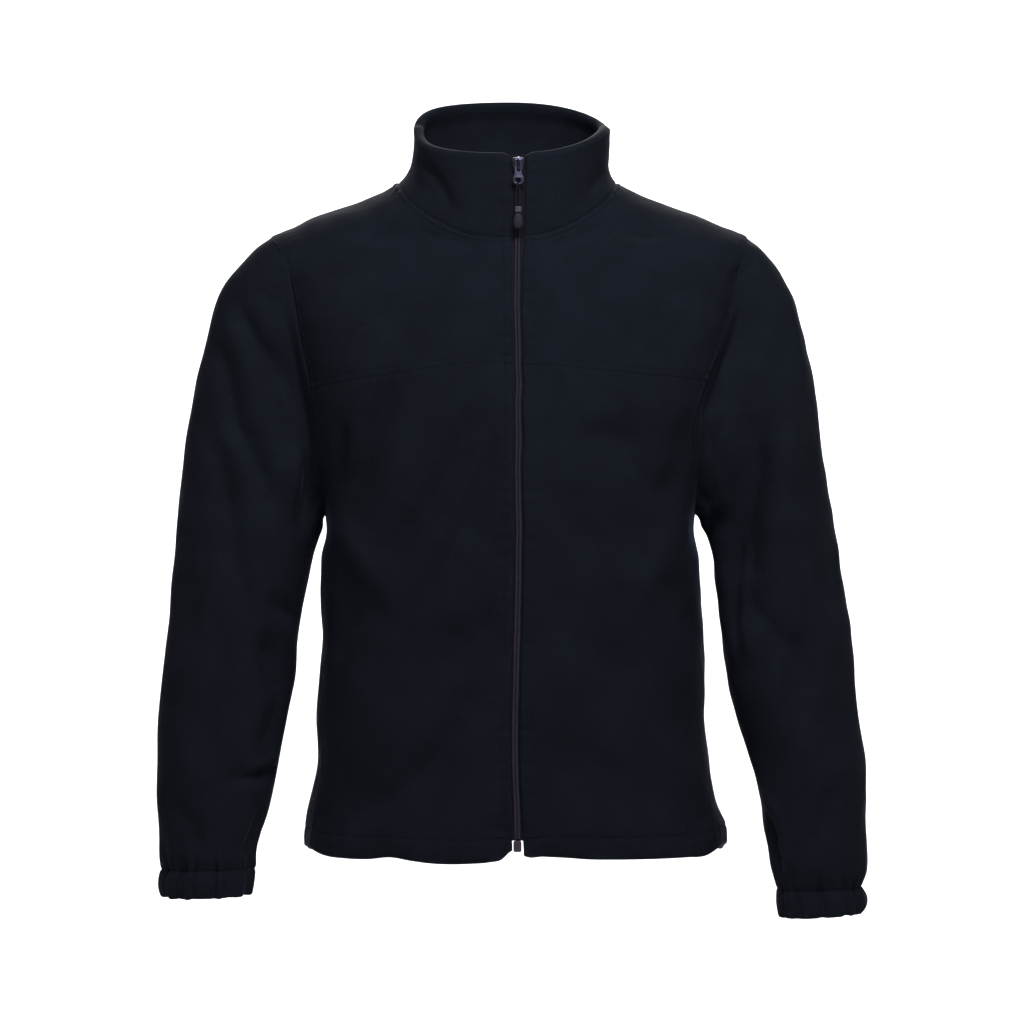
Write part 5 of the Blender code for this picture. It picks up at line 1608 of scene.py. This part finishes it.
def make_tape(side):
    """A ribbon up the zip; past the fleece's edge it follows the fleece, on the fronts deeper."""
    rows = np.linspace(TAPE_FOOT, TAPE_HEAD, 190)[:, None]
    across = np.array([COIL_INSIDE, 1.6, 3.2, 4.8, 6.4, 8.0, 10.0, 12.5, TAPE_WIDTH])
    parting = TAPE_PARTING * fade(rows, COIL_HEAD, 17) * (1 - fade(across, 0.5, 6))
    across = SIDES[side] * (across[None, :] + parting)
    sag = TAPE_SAG * fade(np.abs(across), 8, TAPE_WIDTH)
    sag = sag * fade(rows, HEM + HEM_DEPTH, HEM + HEM_DEPTH + 20) * (1 - fade(rows, -160, -75))
    inset = TAPE_INSET + sag
    level = zip_point(rows, across, inset)
    x = column(ZIP, "middle_x", "z", rows) + across
    height = np.minimum(rows, NECKLINE)
    under = body(angle_at_x(BODY, "front_z", height, x), height, inset)
    up = np.clip((rows - NECKLINE) / (RIM - NECKLINE), 0, 1)
    above = collar(angle_at_x(COLLAR, "up", up, x), up, inset)
    beneath = np.where((rows > NECKLINE)[..., None], above, under)
    hidden = fade(np.abs(across) - column(ZIP, "half_gap", "z", rows), -2, 2)[..., None]
    middle = level * (1 - hidden) + beneath * hidden
    piece, _ = cloth(f"{side}_tape", middle, SIDES[side], [], TAPE, "woven zip tape", "zip_tape")
    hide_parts(f"zip_tape_{side}")
    return piece


def zip_line(heights):
    """Points up the zip's middle at the coil's depth, and the directions across and inwards."""
    at = zip_point(heights, 0.0, COIL_INSET)
    across = unit(zip_point(heights, 1.0, COIL_INSET) - at)
    along = unit(np.gradient(at, axis=0))
    return at, across, unit(np.cross(along, across)), along


def make_coil(side):
    """A spiral of nylon: each turn is a bar across the tape, high at its middle, on a filler cord."""
    fine = np.linspace(TAPE_FOOT + 1, COIL_HEAD, COIL_SAMPLES)
    at, across, inwards, along = zip_line(fine)
    run = runs_of(at)
    offset = 0.0 if side == "right" else COIL_PITCH / 2
    centres = np.arange(COIL_PITCH / 2 + offset, run[-1] - 0.5, COIL_PITCH)
    origin, wide, deep, up = (
        np.stack([np.interp(centres, run, line[:, i]) for i in range(3)], -1)[:, None]
        for line in (at, across, inwards, along)
    )
    reach = np.array([0.25, 0.55, 1.3, 2.3, 3.0]) * SIDES[side]
    depth = np.array([0.35, -0.35, -0.62, -0.5, 0.55])
    climb = np.array([0.0, 0.0, 0.12, 0.3, 0.5]) * COIL_PITCH * 0.6
    lines = origin + wide * reach[:, None] + deep * depth[:, None] + up * climb[:, None]
    run_across = unit(np.gradient(lines, axis=1))
    ring_up = unit(np.cross(run_across, up + 0 * run_across))
    ring_side = unit(np.cross(ring_up, run_across))
    thick = np.array([0.3, 0.42, 0.42, 0.42, 0.3])
    turns = swept(lines, ring_side, ring_up, COIL_PITCH * 0.40, thick, 6)
    core_at = at[None] + across[None] * SIDES[side] * 1.7 + inwards[None] * 0.35
    core = swept(core_at, across[None], inwards[None], 1.15, 0.45, 8)
    coiled = joined_parts([turns, core])
    piece = mesh_piece(f"{side}_coil", *coiled, material("nylon coil"), slot="zip_coil")
    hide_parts(f"zip_coil_{side}")
    return piece


# --- the slider and its pull ----------------------------------------------------------------


def hinge_place():
    """The hinge between the slider and its pull, from the frame."""
    return np.array(frame["joints"][0]["pos_m"])


def placed(piece, lean, place):
    """A finished mesh turned about X and moved to its place; its object stays at the origin."""
    piece.data.transform(Matrix.Translation(place) @ Matrix.Rotation(lean, 4, "X"))
    return piece


def outline(rows, count=40):
    """The points round a flat shape that is the same on both sides of x = 0, as (x, z)."""
    z = np.linspace(rows["z"][0], rows["z"][-1], count)
    half = smooth(rows["z"], rows["half_width"], z)
    right, left = np.stack([half, z], -1), np.stack([-half, z], -1)
    return np.concatenate([right, left[::-1]])


def flat_mesh(name, loops, thickness, y, rounding):
    """A plate from its outline and its holes, drawn in x and z, its middle at y, edges rounded."""
    curve = bpy.data.curves.new(name, "CURVE")
    curve.dimensions = "2D"
    curve.fill_mode = "BOTH"
    curve.extrude = (thickness / 2 - rounding) * MM
    curve.bevel_depth = rounding * MM
    curve.bevel_resolution = 2
    curve.offset = -rounding * MM
    for loop in loops:
        spline = curve.splines.new("POLY")
        spline.points.add(len(loop) - 1)
        for point, (x, z) in zip(spline.points, loop):
            point.co = (x * MM, z * MM, 0, 1)
        spline.use_cyclic_u = True
    drawn = bpy.data.objects.new(name, curve)
    mesh = bpy.data.meshes.new_from_object(drawn)
    bpy.data.objects.remove(drawn)
    bpy.data.curves.remove(curve)
    shape = bmesh.new()
    shape.from_mesh(mesh)
    bmesh.ops.remove_doubles(shape, verts=shape.verts, dist=0.001 * MM)
    shape.transform(Matrix.Translation((0, y * MM, 0)) @ Matrix.Rotation(math.pi / 2, 4, "X"))
    bmesh.ops.recalc_face_normals(shape, faces=shape.faces)
    shape.to_mesh(mesh)
    shape.free()
    return mesh


def superblock(size, middle, squareness, rings=24, sides=32, profile=None):
    """A rounded block: superellipse rings along z whose size follows a superellipse too."""
    half = np.array(size) / 2
    turn = np.linspace(-math.pi / 2, math.pi / 2, rings)
    power = 2 / squareness
    height = np.sign(np.sin(turn)) * np.abs(np.sin(turn)) ** power
    grow = np.abs(np.cos(turn)) ** power
    if profile is not None:
        grow = grow * profile(height)
    around = np.linspace(0, math.tau, sides, endpoint=False)
    x = np.sign(np.cos(around)) * np.abs(np.cos(around)) ** power
    y = np.sign(np.sin(around)) * np.abs(np.sin(around)) ** power
    points = np.stack(
        [
            middle[0] + half[0] * grow[:, None] * x,
            middle[1] + half[1] * grow[:, None] * y,
            middle[2] + half[2] * height[:, None] + 0 * x,
        ],
        -1,
    )
    index = np.arange(rings * sides).reshape(rings, sides)
    faces = quads_between(np.concatenate([index, index[:, :1]], 1)).tolist()
    return points.reshape(-1, 3), faces + [index[0, ::-1].tolist(), index[-1].tolist()]


def mesh_parts(mesh):
    """A mesh's points in millimetres and its faces."""
    points = np.empty(len(mesh.vertices) * 3)
    mesh.vertices.foreach_get("co", points)
    return points.reshape(-1, 3) / MM, [list(face.vertices) for face in mesh.polygons]


def strap(path, width, thickness, sides=12):
    """A bar along a path in y and z, wide in x."""
    path = np.array(path, float)
    line = np.stack([0 * path[:, 0], path[:, 0], path[:, 1]], -1)
    run = runs_of(line)
    at = np.linspace(0, run[-1], 40)
    line = np.stack([smooth(run, line[:, i], at) for i in range(3)], -1)[None]
    along = unit(np.gradient(line, axis=1))
    across = np.broadcast_to(np.array([1.0, 0, 0]), line.shape)
    return swept(line, across, unit(np.cross(along, across)), width / 2, thickness / 2, sides)


def make_slider():
    """Front and back plate, the post between them, two flanges and the bail over the hinge."""
    metal = material("dark lacquered zinc")
    plate = [outline(SLIDER_OUTLINE)]
    between = (BACK_PLATE_Y + FRONT_PLATE_Y) / 2
    parts = [
        mesh_parts(flat_mesh("front_plate", plate, PLATE, FRONT_PLATE_Y, 0.35)),
        mesh_parts(flat_mesh("back_plate", plate, BACK_PLATE, BACK_PLATE_Y, 0.3)),
        superblock((2.6, BACK_PLATE_Y - FRONT_PLATE_Y, 4.0), (0, between, 0), 3),
    ]
    flange_back = PIVOT_PROUD + TAPE_INSET - TAPE / 2 - 0.4
    size = (FLANGE_OUT - FLANGE_IN, flange_back - FRONT_PLATE_Y, FLANGE_HEAD - FLANGE_FOOT)
    for sign in SIDES.values():
        middle = (
            sign * (FLANGE_IN + FLANGE_OUT) / 2,
            (FRONT_PLATE_Y + flange_back) / 2,
            (FLANGE_HEAD + FLANGE_FOOT) / 2,
        )
        parts.append(superblock(size, middle, 6))
    parts.append(strap(BAIL_PATH, BAIL_WIDTH, PLATE))
    piece = mesh_piece("zip_slider_casting", *joined_parts(parts), metal, slot="zip_metal")
    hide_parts("zip_slider")
    return placed(piece, SLIDER_LEAN, hinge_place())


def make_pull():
    """The tab, with a window round the bail and an eye for the cord, and what hangs from it."""
    place = hinge_place()
    turn = np.linspace(0, math.tau, 28, endpoint=False)
    eye = np.stack([EYE_RADIUS * np.cos(turn), EYE_Z + EYE_RADIUS * np.sin(turn)], -1)
    half = WINDOW_HALF_WIDTH
    foot, head = WINDOW_FOOT, WINDOW_HEAD
    window = np.array([(-half, foot), (half, foot), (half, head), (-half, head)])
    tab_mesh = flat_mesh("tab_plate", [outline(TAB_OUTLINE), window, eye], TAB, 0, 0.3)
    tab = mesh_piece(
        "zip_tab_casting", *mesh_parts(tab_mesh), material("dark lacquered zinc"), PULL_PART, "zip_metal"
    )
    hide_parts("zip_pull_tab")
    placed(tab, PULL_LEAN, place)

    ferrule_z = CORD_FOOT - GAP - FERRULE[2] / 2
    end_z = ferrule_z - FERRULE[2] / 2 - GAP - MOULDED_END[2] / 2

    def crimped(height):
        return 1 - 0.07 * bell(height - 0.35, 0.12) - 0.07 * bell(height + 0.35, 0.12)

    def tongue(height):
        return 1 - 0.2 * fade(height, -0.1, 1) - 0.1 * fade(-height, 0.3, 1)

    ferrule = mesh_piece(
        "zip_ferrule",
        *superblock(FERRULE, (0, 0, ferrule_z), 4.5, 48, profile=crimped),
        material("clear grey acetal"),
        PULL_PART,
        "zip_metal",
    )
    end = mesh_piece(
        "zip_moulded_end",
        *superblock(MOULDED_END, (0, 0, end_z), 3.0, 64, profile=tongue),
        material("soft violet grey elastomer"),
        PULL_PART,
        "pull_end",
    )
    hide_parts("zip_pull_ferrule")
    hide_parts("zip_pull_end")
    for piece in (ferrule, end):
        placed(piece, PULL_LEAN, place)

    route = np.stack([CORD_ROUTE[name] for name in "xyz"], -1)
    run = runs_of(route)
    at = np.linspace(0, run[-1], 60)
    line = np.stack([smooth(run, values, at) for values in route.T], -1)
    along = unit(np.gradient(line, axis=0))
    across = unit(np.cross(along, np.array([0.0, 1.0, 0.05])))
    tube = swept(line[None], across[None], np.cross(across, along)[None], CORD / 2, CORD / 2, 12)
    cord = mesh_piece(
        "zip_cord_loop", *tube, material("braided polyester cord"), PULL_PART, "pull_cord"
    )
    placed(cord, PULL_LEAN, place)
    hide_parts("zip_pull_cord")


def make_box():
    """The retainer box at the zip's foot, rounded."""
    low, high = (np.array(corner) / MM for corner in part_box("zip_box"))
    middle = (low + high) / 2
    piece = mesh_piece(
        "zip_retainer_box",
        *superblock(tuple(high - low), (0, 0, 0), 5, 32),
        material("clear grey acetal"),
        slot="zip_box",
    )
    placed(piece, 0.0, middle * MM)
    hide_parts("zip_box")
    return piece


# --- settings and operators -----------------------------------------------------------------


class JacketLooks(bpy.types.PropertyGroup):
    """Sizes and colours of the jacket's cloth, thread and zip"""

    grid_step: bpy.props.FloatProperty(
        name="Grid step", description="Distance between the cloth's points", default=0.0032, unit="LENGTH"
    )
    fleece_thickness: bpy.props.FloatProperty(
        name="Fleece thickness", description="Thickness of one layer", default=0.0023, unit="LENGTH"
    )
    nap_depth: bpy.props.FloatProperty(
        name="Nap depth", description="Depth of the brushed surface", default=0.0009, unit="LENGTH"
    )
    stitch_length: bpy.props.FloatProperty(
        name="Stitch length", description="From one stitch to the next", default=0.0032, unit="LENGTH"
    )
    thread_thickness: bpy.props.FloatProperty(
        name="Thread thickness", description="Thickness of the topstitching", default=0.0005, unit="LENGTH"
    )
    fleece_colour: bpy.props.FloatVectorProperty(
        name="Fleece colour",
        description="Colour of the dyed fibre",
        default=linear("#2B313E"),
        subtype="COLOR",
        min=0.0,
        max=1.0,
    )
    pile_return: bpy.props.FloatProperty(
        name="Pile return",
        description="Share of the light on the fibre that comes back out of the deep pile",
        default=0.0285,
        subtype="FACTOR",
        min=0.0,
        max=1.0,
    )
    tape_colour: bpy.props.FloatVectorProperty(
        name="Tape colour",
        description="Colour of the zip's tape",
        default=linear("#030305"),
        subtype="COLOR",
        min=0.0,
        max=1.0,
    )
    coil_colour: bpy.props.FloatVectorProperty(
        name="Coil colour",
        description="Colour of the zip's coil",
        default=linear("#0B0A10"),
        subtype="COLOR",
        min=0.0,
        max=1.0,
    )
    thread_colour: bpy.props.FloatVectorProperty(
        name="Thread colour",
        description="Colour of the topstitching",
        default=linear("#030408"),
        subtype="COLOR",
        min=0.0,
        max=1.0,
    )


class JacketStage(bpy.types.PropertyGroup):
    """The plain studio round the jacket"""

    floor_drop: bpy.props.FloatProperty(
        name="Floor drop", description="Depth of the floor below the neck", default=1.25, unit="LENGTH"
    )
    floor_colour: bpy.props.FloatVectorProperty(
        name="Floor colour",
        description="Colour of the floor and backdrop",
        default=linear("#F2F2F3"),
        subtype="COLOR",
        min=0.0,
        max=1.0,
    )
    key_power: bpy.props.FloatProperty(
        name="Key light",
        description="Power of the large light above the camera",
        default=450.0,
        unit="POWER",
    )
    rear_power: bpy.props.FloatProperty(
        name="Rear light", description="Power of the large light behind", default=700.0, unit="POWER"
    )
    fill_power: bpy.props.FloatProperty(
        name="Side lights", description="Power of each light beside the jacket", default=20.0, unit="POWER"
    )
    sky_strength: bpy.props.FloatProperty(
        name="Room light",
        description="Strength of the even light from all round",
        default=0.34,
        subtype="UNSIGNED",
        min=0.0,
    )


def make_floor(colour, drop):
    """A flat round floor that rises in a quarter circle to a wall all round, as one bowl."""
    settings = {"Base Color": (*colour, 1), "Roughness": 0.9}
    made, tree, shader, place = new_material("matt studio paper", settings)
    roughen(tree, shader, noise(tree, place, 300.0, 2.0), 0.04, 0.0005)
    sweep = np.linspace(0, math.pi / 2, 14)[1:]
    out, up = BOWL_RADIUS * np.sin(sweep), BOWL_RADIUS * (1 - np.cos(sweep))
    rise = np.stack([FLOOR_RADIUS + out, up], -1)
    wall = FLOOR_RADIUS + BOWL_RADIUS
    flat = [(0.001, 0), (FLOOR_MIDDLE, 0), (FLOOR_RADIUS, 0)]
    profile = np.array([*flat, *rise, (wall, 2 * BOWL_RADIUS), (wall, WALL_TOP)]) / MM
    turn = np.linspace(0, math.tau, 97)[None, :-1]
    radius, height = profile[:, :1], profile[:, 1:] - drop / MM
    bowl = np.stack([radius * np.cos(turn), radius * np.sin(turn), height + 0 * turn], -1)
    index = np.arange(bowl.shape[0] * bowl.shape[1]).reshape(bowl.shape[:2])
    faces = quads_between(np.concatenate([index, index[:, :1]], 1)).tolist()
    mesh = bpy.data.meshes.new("studio_floor")
    mesh.from_pydata((bowl.reshape(-1, 3) * MM).tolist(), [], faces + [index[0].tolist()])
    mesh.shade_smooth()
    mesh.materials.append(made)
    floor = bpy.data.objects.new("studio_floor", mesh)
    bpy.context.scene.collection.objects.link(floor)


def soft_light(name, power, size, place, aim):
    """A rectangular light of a size in metres, turned from its place to face its aim."""
    light = bpy.data.lights.new(name, "AREA")
    light.shape = "RECTANGLE"
    light.size, light.size_y = size
    light.energy = power
    item = bpy.data.objects.new(name, light)
    run = [b - a for a, b in zip(place, aim)]
    level = math.hypot(run[0], run[1])
    item.location = place
    item.rotation_euler = (math.atan2(level, -run[2]), 0, math.atan2(-run[0], run[1]))
    bpy.context.scene.collection.objects.link(item)


class JACKET_OT_stage(bpy.types.Operator):
    """Make the floor, backdrop, lights and camera"""

    bl_idname = "jacket.stage"
    bl_label = "Stage"

    def execute(self, context):
        stage = context.scene.jacket_stage
        make_floor(stage.floor_colour, stage.floor_drop)

        world = bpy.data.worlds.new("even room light")
        world.use_nodes = True
        background = world.node_tree.nodes["Background"]
        background.inputs["Color"].default_value = SKY_COLOUR
        background.inputs["Strength"].default_value = stage.sky_strength
        context.scene.world = world
        context.scene.view_settings.view_transform = "Standard"

        chest = (0, 0, -0.25)
        soft_light("key", stage.key_power, (1.0, 0.7), (0.22, -1.4, 1.3), chest)
        for name, sign in SIDES.items():
            beside = (sign * 2.8, 0.8, 0.2)
            soft_light(f"{name}_side", stage.fill_power, (1.0, 2.0), beside, (0, 0, -0.35))
        soft_light("rear", stage.rear_power, (2.6, 1.2), (0.0, 2.6, 1.9), chest)

        camera = bpy.data.cameras.new("camera")
        camera.angle = 2 * math.atan(HALF_FRAME / CAMERA_AWAY)
        viewer = bpy.data.objects.new("camera", camera)
        viewer.location = (0, -CAMERA_AWAY, -CAMERA_DROP)
        viewer.rotation_euler = (math.pi / 2, 0, 0)
        context.scene.collection.objects.link(viewer)
        context.scene.camera = viewer
        return {"FINISHED"}


class JACKET_OT_pull(bpy.types.Operator):
    """Make the zip's pull: tab, cord loop, ferrule and moulded end"""

    bl_idname = "jacket.pull"
    bl_label = "Zip pull"

    def execute(self, context):
        make_pull()
        return {"FINISHED"}


class JACKET_OT_slider(bpy.types.Operator):
    """Make the zip's slider and its retainer box"""

    bl_idname = "jacket.slider"
    bl_label = "Slider and box"

    def execute(self, context):
        make_slider()
        make_box()
        return {"FINISHED"}


class JACKET_OT_fronts(bpy.types.Operator):
    """Make both fronts and both yokes, with their topstitches"""

    bl_idname = "jacket.fronts"
    bl_label = "Fronts and yokes"

    def execute(self, context):
        step = context.scene.jacket_looks.grid_step / MM
        for side in SIDES:
            front, thread = make_front(side, step)
            yoke, thread = make_yoke(side, step)
        return {"FINISHED"}


class JACKET_OT_back(bpy.types.Operator):
    """Make the back"""

    bl_idname = "jacket.back"
    bl_label = "Back"

    def execute(self, context):
        piece, thread = make_back(context.scene.jacket_looks.grid_step / MM)
        return {"FINISHED"}


class JACKET_OT_sleeves(bpy.types.Operator):
    """Make both sleeves with their gathered cuffs"""

    bl_idname = "jacket.sleeves"
    bl_label = "Sleeves"

    def execute(self, context):
        for side in SIDES:
            piece, thread = make_sleeve(side, context.scene.jacket_looks.grid_step / MM)
        return {"FINISHED"}


class JACKET_OT_collar(bpy.types.Operator):
    """Make the stand-up collar, folded over at its rim"""

    bl_idname = "jacket.collar"
    bl_label = "Collar"

    def execute(self, context):
        piece, thread = make_collar(context.scene.jacket_looks.grid_step / MM)
        return {"FINISHED"}


class JACKET_OT_pockets(bpy.types.Operator):
    """Make the pocket bags behind the fronts"""

    bl_idname = "jacket.pockets"
    bl_label = "Pocket bags"

    def execute(self, context):
        for side in SIDES:
            make_bag(side, BAG_STEP)
        return {"FINISHED"}


class JACKET_OT_zip(bpy.types.Operator):
    """Make the zip's tapes and coils"""

    bl_idname = "jacket.zip"
    bl_label = "Zip chain"

    def execute(self, context):
        for side in SIDES:
            tape = make_tape(side)
            coil = make_coil(side)
        return {"FINISHED"}


class JACKET_PT_panel(bpy.types.Panel):
    """The jacket's settings and its steps"""

    bl_idname = "JACKET_PT_panel"
    bl_label = "Fleece zip jacket"
    bl_space_type = "VIEW_3D"
    bl_region_type = "UI"
    bl_category = "Jacket"

    def draw(self, context):
        for group in (context.scene.jacket_looks, context.scene.jacket_stage):
            box = self.layout.box()
            for name in group.__annotations__:
                box.prop(group, name)
        for step in STEPS:
            self.layout.operator(step.bl_idname)


STEPS = (
    JACKET_OT_stage,
    JACKET_OT_pull,
    JACKET_OT_slider,
    JACKET_OT_zip,
    JACKET_OT_back,
    JACKET_OT_fronts,
    JACKET_OT_sleeves,
    JACKET_OT_collar,
    JACKET_OT_pockets,
)


def register():
    for item in (JacketLooks, JacketStage, *STEPS, JACKET_PT_panel):
        bpy.utils.register_class(item)
    bpy.types.Scene.jacket_looks = bpy.props.PointerProperty(type=JacketLooks)
    bpy.types.Scene.jacket_stage = bpy.props.PointerProperty(type=JacketStage)


def unregister():
    del bpy.types.Scene.jacket_looks
    del bpy.types.Scene.jacket_stage
    for item in reversed((JacketLooks, JacketStage, *STEPS, JACKET_PT_panel)):
        bpy.utils.unregister_class(item)


def plain(box):
    """A box as plain lists."""
    return [[float(value) for value in corner] for corner in box]


def main():
    register()
    bpy.ops.jacket.stage()
    bpy.ops.jacket.pull()
    bpy.ops.jacket.slider()
    bpy.ops.jacket.zip()
    bpy.ops.jacket.back()
    bpy.ops.jacket.fronts()
    bpy.ops.jacket.sleeves()
    bpy.ops.jacket.collar()
    bpy.ops.jacket.pockets()


if __name__ == "__main__":
    main()
